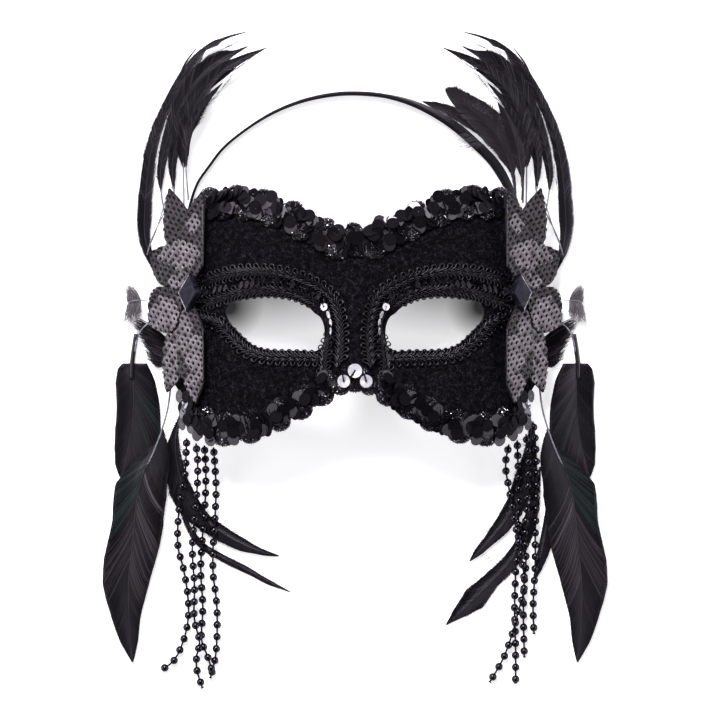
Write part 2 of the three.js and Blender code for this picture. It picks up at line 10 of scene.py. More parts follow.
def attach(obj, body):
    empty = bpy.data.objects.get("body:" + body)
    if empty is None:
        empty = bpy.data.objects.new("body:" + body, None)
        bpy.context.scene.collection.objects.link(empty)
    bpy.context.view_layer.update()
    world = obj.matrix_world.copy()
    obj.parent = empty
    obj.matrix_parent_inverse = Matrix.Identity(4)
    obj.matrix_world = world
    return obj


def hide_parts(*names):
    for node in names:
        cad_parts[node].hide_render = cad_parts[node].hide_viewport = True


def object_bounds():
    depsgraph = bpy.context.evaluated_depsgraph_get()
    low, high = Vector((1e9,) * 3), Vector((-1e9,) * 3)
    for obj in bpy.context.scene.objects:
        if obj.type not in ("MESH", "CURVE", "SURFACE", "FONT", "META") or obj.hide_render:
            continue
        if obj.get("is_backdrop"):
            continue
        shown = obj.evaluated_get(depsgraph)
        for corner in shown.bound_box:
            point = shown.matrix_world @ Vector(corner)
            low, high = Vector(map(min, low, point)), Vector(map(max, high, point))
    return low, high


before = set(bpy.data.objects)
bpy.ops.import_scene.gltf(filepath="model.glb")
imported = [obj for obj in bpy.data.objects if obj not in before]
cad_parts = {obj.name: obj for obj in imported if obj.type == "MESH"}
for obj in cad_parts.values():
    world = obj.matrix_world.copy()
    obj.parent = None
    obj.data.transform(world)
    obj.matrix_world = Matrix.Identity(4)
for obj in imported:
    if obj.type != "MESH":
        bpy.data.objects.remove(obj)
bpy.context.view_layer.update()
bpy.ops.object.select_all(action="DESELECT")

# Studio. The mask is photographed from straight above on a pale table, under one big soft box
# that stands a little towards its top, in a white room.
camera_height = 3.5          # metres above the beads' and trims' level
picture_width = 0.3456       # metres across the picture at that level
bpy.ops.object.camera_add(location=(0.0024, -0.0058, camera_height + 0.046), rotation=(0, 0, 0))
camera = bpy.context.object
camera.name = "camera"
camera.data.sensor_width = 36
camera.data.lens = 36 * camera_height / picture_width
camera.data.clip_start, camera.data.clip_end = 0.1, 60
bpy.context.scene.camera = camera
bpy.context.scene.view_settings.view_transform = "Standard"


def aimed_light(name, place, target, size, watts, tone=(1, 0.96, 1.04)):
    bpy.ops.object.light_add(type="AREA", location=place)
    lamp = bpy.context.object
    lamp.name = name
    lamp.data.shape = "DISK"
    lamp.data.size = size
    lamp.data.energy = watts
    lamp.data.color = tone
    lamp.rotation_euler = (Vector(target) - Vector(place)).to_track_quat("-Z", "Y").to_euler()


aimed_light("soft_box", (-0.42, 1.2, 1.75), (0, 0, 0), 0.8, 60)
aimed_light("side_light_left", (-1.9, -0.2, 1.1), (0, 0, 0), 1.0, 12)
aimed_light("side_light_right", (1.9, -0.2, 1.1), (0, 0, 0), 1.0, 12)

# The room is white low down, all round, and dark above, so that black things keep deep tones.
room = bpy.data.worlds.new("white_room")
bpy.context.scene.world = room
room.use_nodes = True
room_nodes = room.node_tree.nodes
looking = room_nodes.new("ShaderNodeTexCoord")
rising = room_nodes.new("ShaderNodeSeparateXYZ")
height_tone = room_nodes.new("ShaderNodeMapRange")
room.node_tree.links.new(looking.outputs["Generated"], rising.inputs["Vector"])
room.node_tree.links.new(rising.outputs["Z"], height_tone.inputs["Value"])
for socket, value in (("From Min", 0.1), ("From Max", 0.5), ("To Min", 0.9), ("To Max", 0.05)):
    height_tone.inputs[socket].default_value = value
room.node_tree.links.new(height_tone.outputs["Result"], room_nodes["Background"].inputs["Strength"])
room_nodes["Background"].inputs["Color"].default_value = (0.95, 0.915, 1, 1)

bpy.ops.mesh.primitive_plane_add(size=40)
table = bpy.context.object
table.name = "table"
table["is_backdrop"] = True


def new_material(name, colour, roughness, metallic=0.0, **sockets):
    """A material with one principled shader. Further sockets are given by name, spaces as _."""
    material = bpy.data.materials.new(name)
    material.use_nodes = True
    shader = material.node_tree.nodes["Principled BSDF"]
    shader.inputs["Base Color"].default_value = (*colour, 1)
    shader.inputs["Roughness"].default_value = roughness
    shader.inputs["Metallic"].default_value = metallic
    for key, value in sockets.items():
        shader.inputs[key.replace("_", " ")].default_value = value
    return material, shader


def add_node(material, kind, wires=(), **settings):
    """A node with its settings, and wires from other nodes' outputs to its inputs."""
    tree = material.node_tree
    node = tree.nodes.new(kind)
    for key, value in settings.items():
        if key.startswith("in_"):
            node.inputs[key[3:].replace("_", " ")].default_value = value
        else:
            setattr(node, key, value)
    for source, socket in wires:
        tree.links.new(source, node.inputs[socket])
    return node


def grain(material, scale, detail=3, roughness=0.55, distortion=0.0, stretch=(1, 1, 1)):
    """Noise on the object's own coordinates, with features 1 / scale metres wide."""
    place = add_node(material, "ShaderNodeTexCoord")
    mapping = add_node(material, "ShaderNodeMapping", [(place.outputs["Object"], "Vector")])
    mapping.inputs["Scale"].default_value = stretch
    return add_node(material, "ShaderNodeTexNoise", [(mapping.outputs["Vector"], "Vector")], in_Scale=scale,
                    in_Detail=detail, in_Roughness=roughness, in_Distortion=distortion)


def ramp(material, source, stops):
    """Colours along a value, given as (place, (r, g, b))."""
    node = add_node(material, "ShaderNodeValToRGB", [(source, "Fac")])
    while len(node.color_ramp.elements) < len(stops):
        node.color_ramp.elements.new(0.5)
    for element, (place, colour) in zip(node.color_ramp.elements, stops):
        element.position = place
        element.color = (*colour, 1)
    return node


def levels(material, source, low, high, out_low, out_high):
    node = add_node(material, "ShaderNodeMapRange", [(source, "Value")])
    for socket, value in zip(("From Min", "From Max", "To Min", "To Max"), (low, high, out_low, out_high)):
        node.inputs[socket].default_value = value
    return node.outputs["Result"]


def wire(material, source, shader, socket):
    material.node_tree.links.new(source, shader.inputs[socket])


def bumped(material, shader, source, strength, height):
    bump = add_node(material, "ShaderNodeBump", [(source, "Height")], in_Strength=strength, in_Distance=height)
    wire(material, bump.outputs["Normal"], shader, "Normal")
    return bump


paper, paper_shader = new_material("table_paper", (0.82, 0.825, 0.835), 0.9, Emission_Color=(1, 1, 1, 1),
                                   Emission_Strength=0.68)
paper_shader.inputs["Specular IOR Level"].default_value = 0.1
paper_grain = grain(paper, 900)
bumped(paper, paper_shader, paper_grain.outputs["Fac"], 0.05, 0.0002)

# A shadow of the brow is painted on the table, in both its glow and its colour, and that painted shadow shows through
# the eye holes.
painted_brow_shadows = [              # middle of each, half sizes in metres, and where it begins and ends to clear
    ((0.042, 0.0302), (0.06, 0.025), -0.2, 1.0), ((0.0615, 0.0202), (0.0175, 0.0175), 0.18, 1.0)]
table_place = add_node(paper, "ShaderNodeTexCoord")
table_ways = add_node(paper, "ShaderNodeSeparateXYZ", [(table_place.outputs["Object"], "Vector")])
table_side = add_node(paper, "ShaderNodeMath", [(table_ways.outputs["X"], 0)], operation="ABSOLUTE")
table_spot = add_node(paper, "ShaderNodeCombineXYZ", [(table_side.outputs["Value"], "X"),
                                                      (table_ways.outputs["Y"], "Y")])
lit_shares = []
for (x, y), (wide, high), dark_until, clear_from in painted_brow_shadows:
    away = add_node(paper, "ShaderNodeVectorMath", [(table_spot.outputs["Vector"], 0)], operation="SUBTRACT")
    away.inputs[1].default_value = (x, y, 0)
    scaled = add_node(paper, "ShaderNodeVectorMath", [(away.outputs["Vector"], 0)], operation="DIVIDE")
    scaled.inputs[1].default_value = (wide, high, 1)
    reach = add_node(paper, "ShaderNodeVectorMath", [(scaled.outputs["Vector"], 0)], operation="LENGTH")
    lit_shares.append(levels(paper, reach.outputs["Value"], dark_until, clear_from, 0.05, 1))
lit = add_node(paper, "ShaderNodeMath", [(lit_shares[0], 0), (lit_shares[1], 1)], operation="MULTIPLY")
# The painted shadow dims the table's glow and darkens its colour.
wire(paper, levels(paper, lit.outputs["Value"], 0, 1, 0, 0.68), paper_shader, "Emission Strength")
painted_shadow_tint = ramp(paper, lit.outputs["Value"], [(0, (0.04, 0.04, 0.045)), (1, (0.82, 0.825, 0.835))])
wire(paper, painted_shadow_tint.outputs["Color"], paper_shader, "Base Color")
table.data.materials.append(paper)

# Bead strands. Round black glass beads, strung on thin black thread with a little thread showing
# between them. Four strands are sewn under each lower corner and lie loose on the table.
bead_radius = 1.9
bead_pitch = 5.8
thread_diameter = 0.9
drawn_up = 5.8               # the drawing's zero level is this far above the frame's


def placed(points):
    """Points in the drawing's millimetres, as metres in the frame."""
    points = np.asarray(points, float).reshape(-1, 3)
    return (points - (0, drawn_up, 0)) / 1000


def smooth_line(points, count):
    """Points at even steps along a smooth line through the given ones."""
    points = np.array([list(p) + [0] * (3 - len(p)) for p in points], float)
    ends = [2 * points[0] - points[1], 2 * points[-1] - points[-2]]
    knots = np.vstack([ends[0], points, ends[1]])
    fine = []
    for p0, p1, p2, p3 in zip(knots, knots[1:], knots[2:], knots[3:]):
        d0, d1, d2 = (max(np.linalg.norm(b - a), 1e-6) ** 0.5 for a, b in ((p0, p1), (p1, p2), (p2, p3)))
        t1 = ((p1 - p0) / d0 - (p2 - p0) / (d0 + d1) + (p2 - p1) / d1) * d1
        t2 = ((p2 - p1) / d1 - (p3 - p1) / (d1 + d2) + (p3 - p2) / d2) * d1
        t = np.linspace(0, 1, 40, endpoint=False)[:, None]
        fine.append(p1 + t1 * t + (3 * (p2 - p1) - 2 * t1 - t2) * t ** 2 + (2 * (p1 - p2) + t1 + t2) * t ** 3)
    fine = np.vstack([*fine, points[-1:]])
    reach = np.r_[0, np.cumsum(np.linalg.norm(np.diff(fine, axis=0), axis=1))]
    steps = np.linspace(0, reach[-1], count)
    return np.stack([np.interp(steps, reach, fine[:, i]) for i in range(3)], axis=1)


def line_length(line):
    return float(np.linalg.norm(np.diff(line, axis=0), axis=1).sum())


def copies(master, points, name, tones=None, ride=True):
    """One object that holds many copies of the master's mesh. points are all copies' corners in turn,
    in metres, and tones one number for each copy, kept on its corners as the attribute tone."""
    mesh = master.data
    corners = len(mesh.vertices)
    number = len(points) // corners
    loop_corner = np.empty(len(mesh.loops), np.int32)
    mesh.loops.foreach_get("vertex_index", loop_corner)
    starts = np.empty(len(mesh.polygons), np.int32)
    mesh.polygons.foreach_get("loop_start", starts)
    slots = np.empty(len(mesh.polygons), np.int32)
    mesh.polygons.foreach_get("material_index", slots)
    smooth = np.empty(len(mesh.polygons), bool)
    mesh.polygons.foreach_get("use_smooth", smooth)
    whole = bpy.data.meshes.new(name)
    whole.vertices.add(corners * number)
    whole.vertices.foreach_set("co", np.ascontiguousarray(points, np.float32).ravel())
    whole.loops.add(len(loop_corner) * number)
    shift = np.repeat(np.arange(number, dtype=np.int32), len(loop_corner))
    whole.loops.foreach_set("vertex_index", np.tile(loop_corner, number) + shift * corners)
    whole.polygons.add(len(starts) * number)
    face_shift = np.repeat(np.arange(number, dtype=np.int32), len(starts))
    whole.polygons.foreach_set("loop_start", np.tile(starts, number) + face_shift * len(loop_corner))
    whole.polygons.foreach_set("material_index", np.tile(slots, number))
    whole.polygons.foreach_set("use_smooth", np.tile(smooth, number))
    if mesh.uv_layers:
        flat = np.empty(len(mesh.loops) * 2, np.float32)
        mesh.uv_layers[0].data.foreach_get("uv", flat)
        whole.uv_layers.new(name="UVMap").data.foreach_set("uv", np.tile(flat, number))
    if tones is not None:
        tone = whole.attributes.new("tone", "FLOAT", "POINT")
        tone.data.foreach_set("value", np.repeat(np.asarray(tones, np.float32), corners))
    for material in mesh.materials:
        whole.materials.append(material)
    whole.update(calc_edges=True)
    piece = bpy.data.objects.new(name, whole)
    bpy.context.collection.objects.link(piece)
    if ride:
        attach(piece, "root")
    return piece


def corners_of(master):
    flat = np.empty(len(master.data.vertices) * 3)
    master.data.vertices.foreach_get("co", flat)
    return flat.reshape(-1, 3)


def set_at(master, places):
    """The master's corners moved to each 4x4 place in turn."""
    own = np.c_[corners_of(master), np.ones(len(master.data.vertices))]
    return np.einsum("kij,nj->kni", np.array([np.array(m) for m in places]), own)[..., :3].reshape(-1, 3)


def stand(place, along, up):
    """A 4x4 place whose Z is along and whose X leans towards up."""
    z = Vector(along).normalized()
    x = (Vector(up) - z * z.dot(Vector(up))).normalized()
    matrix = Matrix((x, z.cross(x), z)).transposed().to_4x4()
    matrix.translation = Vector(place)
    return matrix


def select_where(test, kind="VERT"):
    """In edit mode, selects the corners or faces of the object whose place and normal pass the test."""
    piece = bpy.context.object
    bpy.ops.mesh.select_mode(type=kind)
    bpy.ops.mesh.select_all(action="DESELECT")
    bpy.ops.object.mode_set(mode="OBJECT")
    chosen = piece.data.vertices if kind == "VERT" else piece.data.polygons
    for part in chosen:
        part.select = bool(test(part.co if kind == "VERT" else part.center, part.normal))
    bpy.ops.object.mode_set(mode="EDIT")


def scrap(*pieces):
    for piece in pieces:
        bpy.data.objects.remove(piece, do_unlink=True)


bead_glass, bead_shader = new_material("black_bead", (0.05, 0.047, 0.056), 0.15, 1.0, Specular_Tint=(0.2, 0.2, 0.24, 1))
bead_haze = grain(bead_glass, 1400, detail=2)
wire(bead_glass, levels(bead_glass, bead_haze.outputs["Fac"], 0.35, 0.75, 0.12, 0.17), bead_shader, "Roughness")
bumped(bead_glass, bead_shader, bead_haze.outputs["Fac"], 0.03, 0.0001)

thread_black, thread_shader = new_material("black_thread", (0.008, 0.007, 0.0092), 0.7)
thread_shader.inputs["Specular IOR Level"].default_value = 0.15
twist = add_node(thread_black, "ShaderNodeTexWave", [(add_node(thread_black, "ShaderNodeTexCoord").outputs["Object"],
                 "Vector")], bands_direction="DIAGONAL", in_Scale=900, in_Distortion=1.0)
bumped(thread_black, thread_shader, twist.outputs["Fac"], 0.5, 0.0001)

bpy.ops.mesh.primitive_uv_sphere_add(segments=16, ring_count=10, radius=bead_radius / 1000)
bead = bpy.context.object
bpy.ops.object.mode_set(mode="EDIT")
select_where(lambda place, normal: abs(place.z) > 0.99 * bead_radius / 1000)
bpy.ops.mesh.delete(type="VERT")
bpy.ops.mesh.select_mode(type="EDGE")
bpy.ops.mesh.select_all(action="DESELECT")
bpy.ops.mesh.select_non_manifold()
bpy.ops.mesh.extrude_region_move()
bpy.ops.transform.resize(value=(0.5, 0.5, 0.7))
bpy.ops.mesh.edge_collapse()
bpy.ops.mesh.select_all(action="SELECT")
bpy.ops.mesh.normals_make_consistent(inside=False)
bpy.ops.object.mode_set(mode="OBJECT")
bpy.ops.object.shade_smooth()
bead.data.materials.append(bead_glass)

strand_routes = {
    "bead_strand_1_left": [
        (-81.5, -38, 15), (-82, -46, 9), (-82.5, -55, 5.6), (-84.5, -65, 5), (-86, -79, 5), (-86, -91, 4.6),
        (-83.5, -101, 2.6), (-81.5, -113, 2), (-81, -124, 2), (-83, -135, 2), (-88, -146, 2), (-93, -150, 2)],
    "bead_strand_2_left": [
        (-77, -40.5, 15), (-76.3, -49, 11), (-76.5, -60, 8.8), (-77.5, -72, 8.6), (-79, -92, 8),
        (-78, -109, 6.4), (-78, -126, 6), (-75.5, -137, 6), (-77, -144, 3.4), (-77, -150, 2), (-74, -160, 2)],
    "bead_strand_3_left": [
        (-73, -41.5, 15), (-72.5, -51, 7.5), (-72.5, -62, 5), (-73, -72, 5), (-74.5, -91, 5),
        (-75, -103, 2.6), (-74, -120, 2), (-74.5, -137, 2), (-72, -143, 3.6), (-70, -149, 6), (-69, -154, 6)],
    "bead_strand_4_left": [
        (-68.5, -42.5, 16), (-68, -51, 9), (-67.5, -62, 5.4), (-68, -76, 5), (-69, -92, 5), (-69, -104, 2.2),
        (-67.5, -116, 2), (-67, -128, 2), (-68, -145, 2), (-71, -157, 2)],
    "bead_strand_1_right": [
        (74.5, -41, 15), (73, -51, 9.5), (75, -64, 8.2), (78, -81, 8.6), (81, -97, 8.4), (82, -111, 6.2),
        (79, -123, 6.2), (76, -134, 4), (72, -145, 2), (64, -159, 2)],
    "bead_strand_2_right": [
        (78.5, -39, 15), (79, -49, 9), (79.5, -60, 5), (79.5, -74, 5), (79, -90, 5), (78, -104, 2.4),
        (77.5, -121, 2), (78, -140, 2), (78, -157, 2)],
    "bead_strand_3_right": [
        (82.8, -36, 14), (84, -47, 9.2), (84, -57, 8.8), (83.5, -70, 8.4), (82.5, -85, 5.2), (83, -98, 4.8),
        (82, -111, 2.2), (81.8, -123, 2), (82, -134, 2), (82.3, -146, 2)],
    "bead_strand_4_right": [
        (86.2, -30, 11), (87.5, -40, 6.6), (88, -51, 5.6), (88, -68, 4.6), (87.5, -85, 4.4), (87.5, -98, 5),
        (87, -109, 4.8), (86.5, -120, 2.4), (87, -134, 2)],
}
for strand, route in strand_routes.items():
    fine = smooth_line(route, 400)
    fine[:, 2] = np.maximum(fine[:, 2], bead_radius)
    length = line_length(fine)
    number = round(length / bead_pitch)
    reach = np.linspace(0, length, len(fine))
    middles = np.minimum((np.arange(number) + 0.5) * bead_pitch, length)
    spots = np.stack([np.interp(middles, reach, fine[:, i]) for i in range(3)], axis=1)
    ahead = np.stack([np.interp(np.minimum(middles + 1, length), reach, fine[:, i]) for i in range(3)], axis=1)
    behind = np.stack([np.interp(middles - 1, reach, fine[:, i]) for i in range(3)], axis=1)
    beads = copies(bead, set_at(bead, [stand(p, b - a, (0.3, 0.2, 1)) for p, a, b in
                                       zip(placed(spots), behind, ahead)]), f"beads_{strand[12:]}")
    last = min(number * bead_pitch, length)
    stops = np.linspace(0, last, 38)
    path = placed(np.stack([np.interp(stops, reach, fine[:, i]) for i in range(3)], axis=1))
    line = bpy.data.curves.new(f"thread_{strand[12:]}", "CURVE")
    line.dimensions = "3D"
    spline = line.splines.new("POLY")
    spline.points.add(len(path) - 1)
    for point, place in zip(spline.points, path):
        point.co = (*place, 1)
    line.bevel_depth = thread_diameter / 2000
    line.bevel_resolution = 2
    line.use_fill_caps = True
    line.materials.append(thread_black)
    thread = bpy.data.objects.new(line.name, line)
    bpy.context.collection.objects.link(thread)
    bpy.ops.mesh.primitive_torus_add(major_radius=0.0005, minor_radius=0.00035, major_segments=10,
                                     minor_segments=6)
    knot = bpy.context.object
    knot.name = f"knot_{strand[12:]}"
    knot.data.transform(stand(path[-1], path[-1] - path[-2], (0, 0, 1)))
    knot.data.materials.append(thread_black)
    bpy.ops.object.shade_smooth()
    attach(knot, "root")
    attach(thread, "root")
    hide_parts(strand)
scrap(bead)

# Shell. A half mask moulded from stiff felt, covered in crushed black velvet on the front and with
# thin satin inside. The velvet is drawn over the rims of the eye holes, just inside the braid.
half_width = 92              # half the width of the shell's curve at the temples
curve_depth = 55
table_drop = 7
shell_thickness = 1.6
widest_angle = math.radians(86)


def swell(x, y, middle_x, middle_y, spread_x, spread_y):
    return np.exp(-((x - middle_x) / spread_x) ** 2 - ((y - middle_y) / spread_y) ** 2)


def face_height(x, y):
    side = np.abs(x)
    drum = curve_depth * np.sqrt(np.maximum(0, 1 - (x / half_width) ** 2)) - table_drop
    down = np.clip((60 - y) / 75, 0, 1)
    nose = 13 * down * down * (3 - 2 * down) * np.exp(-(x / 11) ** 2)
    eyes = -3 * swell(side, y, 36, 17, 22, 15)
    brows = 2.5 * swell(side, y, 38, 50, 28, 16)
    cheeks = 2 * swell(side, y, 46, -20, 24, 16)
    return drum + nose + eyes + brows + cheeks - 0.004 * np.maximum(0, y - 40) ** 2


def face_normal(x, y):
    step = 0.05
    slope_x = (face_height(x + step, y) - face_height(x - step, y)) / (2 * step)
    slope_y = (face_height(x, y + step) - face_height(x, y - step)) / (2 * step)
    normal = np.stack([-slope_x, -slope_y, np.ones_like(slope_x)], axis=-1)
    return normal / np.linalg.norm(normal, axis=-1, keepdims=True)


def on_face(x, y, lift=0.0):
    """Places on the front of the shell, or lift above it, in the drawing's millimetres."""
    x, y, lift = (np.array(v, float) for v in np.broadcast_arrays(x, y, lift))
    return np.stack([x, y, face_height(x, y)], axis=-1) + face_normal(x, y) * lift[..., None]


def lay_along(line, ahead, aside, lift):
    """Places on the face that are ahead along a line of points, to its left, and above it."""
    reach = np.r_[0, np.cumsum(np.linalg.norm(np.diff(line[:, :2], axis=0), axis=1))]
    slopes = np.gradient(line[:, :2], axis=0)
    slopes /= np.linalg.norm(slopes, axis=1, keepdims=True)
    held = np.clip(ahead, 0, reach[-1])
    spot = np.stack([np.interp(held, reach, line[:, i]) for i in (0, 1)], axis=-1)
    slope = np.stack([np.interp(held, reach, slopes[:, i]) for i in (0, 1)], axis=-1)
    slope /= np.linalg.norm(slope, axis=-1, keepdims=True)
    spot = spot + slope * (ahead - held)[..., None]
    side = np.stack([-slope[..., 1], slope[..., 0]], axis=-1)
    spot = spot + side * np.asarray(aside)[..., None]
    return on_face(spot[..., 0], spot[..., 1], lift)


braid_lines = {              # the braids' middle lines, each from the temple to the nose
    "outer_braid": [
        (-75, 36.2), (-66, 39.8), (-58, 42), (-50, 42.6), (-42, 42.5), (-34, 41.3), (-27, 39.6), (-20, 36.6),
        (-13.8, 33), (-10, 28.8), (-7.6, 22), (-6.5, 15), (-6.3, 8), (-6.9, 1), (-7.2, -2)],
    "inner_braid_upper": [
        (-74.5, 26.5), (-66, 29.4), (-58.5, 31.9), (-51, 33.2), (-43.5, 33.9), (-36, 33.6), (-28, 32),
        (-21, 28.6), (-16.6, 24.6), (-13.8, 19.4), (-13.2, 12), (-13.8, 5), (-14.6, -2), (-14.2, -6),
        (-12.6, -10)],
    "inner_braid_lower": [
        (-75.4, 20.6), (-69, 19), (-64.6, 17.2), (-61, 13.6), (-56.5, 9), (-51.3, 4.5), (-45, 2),
        (-38, 1.2), (-28, 1), (-17, 0.6)],
}
rim_inset = 3.5              # the rims of the eye holes lie this far inside the middle lines of the braids round them
shell_edge = [
    (0, 60), (-6, 57.5), (-12, 63), (-22, 68.5), (-31, 73), (-40, 76.5), (-50, 79), (-63, 79.5), (-73, 78.5),
    (-84, 70), (-94, 62), (-94, -2), (-86, -14), (-82, -22), (-79, -31), (-70, -36), (-60, -38.5),
    (-50, -37.5), (-42, -34.5), (-34, -30), (-27, -26), (-19, -21.5), (-12, -17), (-6, -13), (0, -12)]
upper_line, lower_line = (smooth_line(braid_lines[name], 160) for name in ("inner_braid_upper", "inner_braid_lower"))
upper_rim = lay_along(upper_line, np.linspace(0.1375, 0.6325, 14) * line_length(upper_line), np.full(14, -rim_inset), 0)
lower_rim = lay_along(lower_line, np.linspace(0.96, 0.22, 14) * line_length(lower_line), np.full(14, rim_inset), 0)
eye_hole = [*upper_rim[:, :2], (-16.8, 20.6), (-15, 16.6), (-14.7, 11), (-15.8, 6.6), *lower_rim[:, :2], (-62.2, 23)]

# The velvet is a fine sheet bent to the face, backed to its thickness, and cut with a shaped cutter.
bpy.ops.mesh.primitive_grid_add(x_subdivisions=190, y_subdivisions=88, size=1)
shell = bpy.context.object
shell.name = "velvet_shell"
sheet = corners_of(shell)
across = half_width * np.sin(sheet[:, 0] * 2 * widest_angle)
upright = -45 + (sheet[:, 1] + 0.5) * 130
shell.data.vertices.foreach_set("co", placed(on_face(across, upright)).ravel())

cutter_line = bpy.data.curves.new("shell_cutter", "CURVE")
cutter_line.dimensions = "2D"
cutter_line.fill_mode = "BOTH"
cutter_line.extrude = 0.06
left_edge = smooth_line(shell_edge, 150)[:, :2]
right_edge = left_edge[-2:0:-1] * (-1, 1)
left_eye = smooth_line(eye_hole + eye_hole[:1], 121)[:-1, :2]
for loop in (np.vstack([left_edge, right_edge]), left_eye, left_eye[::-1] * (-1, 1)):
    spline = cutter_line.splines.new("POLY")
    spline.points.add(len(loop) - 1)
    for point, place in zip(spline.points, placed(np.c_[loop, np.zeros(len(loop))])):
        point.co = (*place, 1)
    spline.use_cyclic_u = True
cutter = bpy.data.objects.new("shell_cutter", cutter_line)
bpy.context.collection.objects.link(cutter)
bpy.ops.object.select_all(action="DESELECT")
cutter.select_set(True)
bpy.context.view_layer.objects.active = cutter
bpy.ops.object.convert(target="MESH")
cutter = bpy.context.object
bpy.ops.object.mode_set(mode="EDIT")
bpy.ops.mesh.select_all(action="SELECT")
bpy.ops.mesh.remove_doubles(threshold=1e-6)
bpy.ops.mesh.normals_make_consistent(inside=False)
bpy.ops.transform.translate(value=(0, 0, 0.06))
bpy.ops.object.mode_set(mode="OBJECT")
bpy.ops.object.select_all(action="DESELECT")
shell.select_set(True)
bpy.context.view_layer.objects.active = shell
backing = shell.modifiers.new("backing", "SOLIDIFY")
backing.thickness = shell_thickness / 1000
backing.offset = -1
bpy.ops.object.modifier_apply(modifier="backing")
cut = shell.modifiers.new("cut", "BOOLEAN")
cut.operation = "INTERSECT"
cut.solver = "EXACT"
cut.object = cutter
bpy.ops.object.modifier_apply(modifier="cut")
scrap(cutter)
bpy.ops.object.shade_smooth_by_angle(angle=math.radians(40))

velvet, velvet_shader = new_material("crushed_velvet", (0.003, 0.0027, 0.0035), 0.9, Sheen_Weight=0.02,
                                     Sheen_Roughness=0.3, Sheen_Tint=(0.5, 0.46, 0.55, 1))
velvet_shader.inputs["Specular IOR Level"].default_value = 0.04
crush = grain(velvet, 420, detail=4, roughness=0.75, distortion=0.6)
nap = grain(velvet, 1500, detail=3, roughness=0.75, distortion=0.5, stretch=(1, 0.75, 1))
lumps = add_node(velvet, "ShaderNodeMath", [(crush.outputs["Fac"], 0), (nap.outputs["Fac"], 1)],
                 operation="MULTIPLY")
speckle = ramp(velvet, lumps.outputs["Value"], [(0.17, (0.001, 0.0009, 0.0014)), (0.25, (0.0036, 0.0031, 0.0048)),
                                                (0.32, (0.0115, 0.0102, 0.014)), (0.41, (0.036, 0.033, 0.041))])
wire(velvet, speckle.outputs["Color"], velvet_shader, "Base Color")
bumped(velvet, velvet_shader, lumps.outputs["Value"], 0.9, 0.0006)
lining, lining_shader = new_material("satin_lining", (0.014, 0.013, 0.016), 0.45)
lining_grain = grain(lining, 1800, stretch=(1, 0.15, 1))
bumped(lining, lining_shader, lining_grain.outputs["Fac"], 0.4, 0.0002)
shell.data.materials.append(velvet)
shell.data.materials.append(lining)
middles = np.empty(len(shell.data.polygons) * 3)
facings = np.empty(len(shell.data.polygons) * 3)
shell.data.polygons.foreach_get("center", middles)
shell.data.polygons.foreach_get("normal", facings)
middles = middles.reshape(-1, 3) * 1000 + (0, drawn_up, 0)
inside = (facings.reshape(-1, 3) * face_normal(middles[:, 0], middles[:, 1])).sum(axis=1) < -0.4
shell.data.polygons.foreach_set("material_index", inside.astype(np.int32))
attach(shell, "root")
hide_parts("mask_shell")

# Gimp braid round the eyes. Two runs of wrapped cord are plaited so that each makes a round picot at
# its edge and a pair of slanting legs that meet in the middle. It is glued to the velvet.
picot_pitch = 3.55
picot_radius = 1.06
picot_out = 2.75             # from the braid's middle line to the middle of each picot
cord_thickness = 0.82
braid_lift = 0.5
nose_fold = ((0.55, 0.66, 0.74, 0.84), np.radians((0, 58, 50, 6)))   # beside the nose the inner braid folds down over the rim


def rope(name, splines, thickness, resolution=1, cyclic=False):
    """Cords along lines of points in metres, bevelled round and made one mesh."""
    line = bpy.data.curves.new(name, "CURVE")
    line.dimensions = "3D"
    for points in splines:
        spline = line.splines.new("POLY")
        spline.points.add(len(points) - 1)
        for point, place in zip(spline.points, points):
            point.co = (*place[:3], 1)
            point.radius = place[3] if len(place) > 3 else 1
        spline.use_cyclic_u = cyclic
        spline.use_smooth = True
    line.bevel_depth = thickness / 2
    line.bevel_resolution = resolution
    line.use_fill_caps = not cyclic
    piece = bpy.data.objects.new(name, line)
    bpy.context.collection.objects.link(piece)
    bpy.ops.object.select_all(action="DESELECT")
    piece.select_set(True)
    bpy.context.view_layer.objects.active = piece
    bpy.ops.object.convert(target="MESH")
    piece = bpy.context.object
    bpy.ops.object.mode_set(mode="EDIT")
    bpy.ops.mesh.select_all(action="SELECT")
    bpy.ops.mesh.remove_doubles(threshold=1e-7)
    bpy.ops.mesh.normals_make_consistent(inside=False)
    bpy.ops.object.mode_set(mode="OBJECT")
    bpy.ops.object.shade_smooth()
    return piece


def picot_line(edge):
    """One picot with its two legs, drawn flat: x is ahead along the braid, and y is across it."""
    legs_start = [(4.3, 0.45, -0.1), (3.4, 0.72, 0.35), (2.4, 1.25, 0.6), (1.5, 1.9, 0.66)]
    ring = [(picot_radius * math.cos(t), picot_out + picot_radius * math.sin(t), 0.45 + 0.12 * math.cos(t))
            for t in np.radians(np.linspace(-20, 236, 13))]
    legs_end = [(0.35, 1.35, 0.42), (1.4, 0.75, 0.5), (2.5, 0.3, 0.4), (3.5, 0.05, -0.1)]
    line = smooth_line(legs_start + ring + legs_end, 25)
    return (line * (1, edge, 1) + ((0, 0, 0.12) if edge > 0 else (picot_pitch / 2, 0, 0))) / 1000


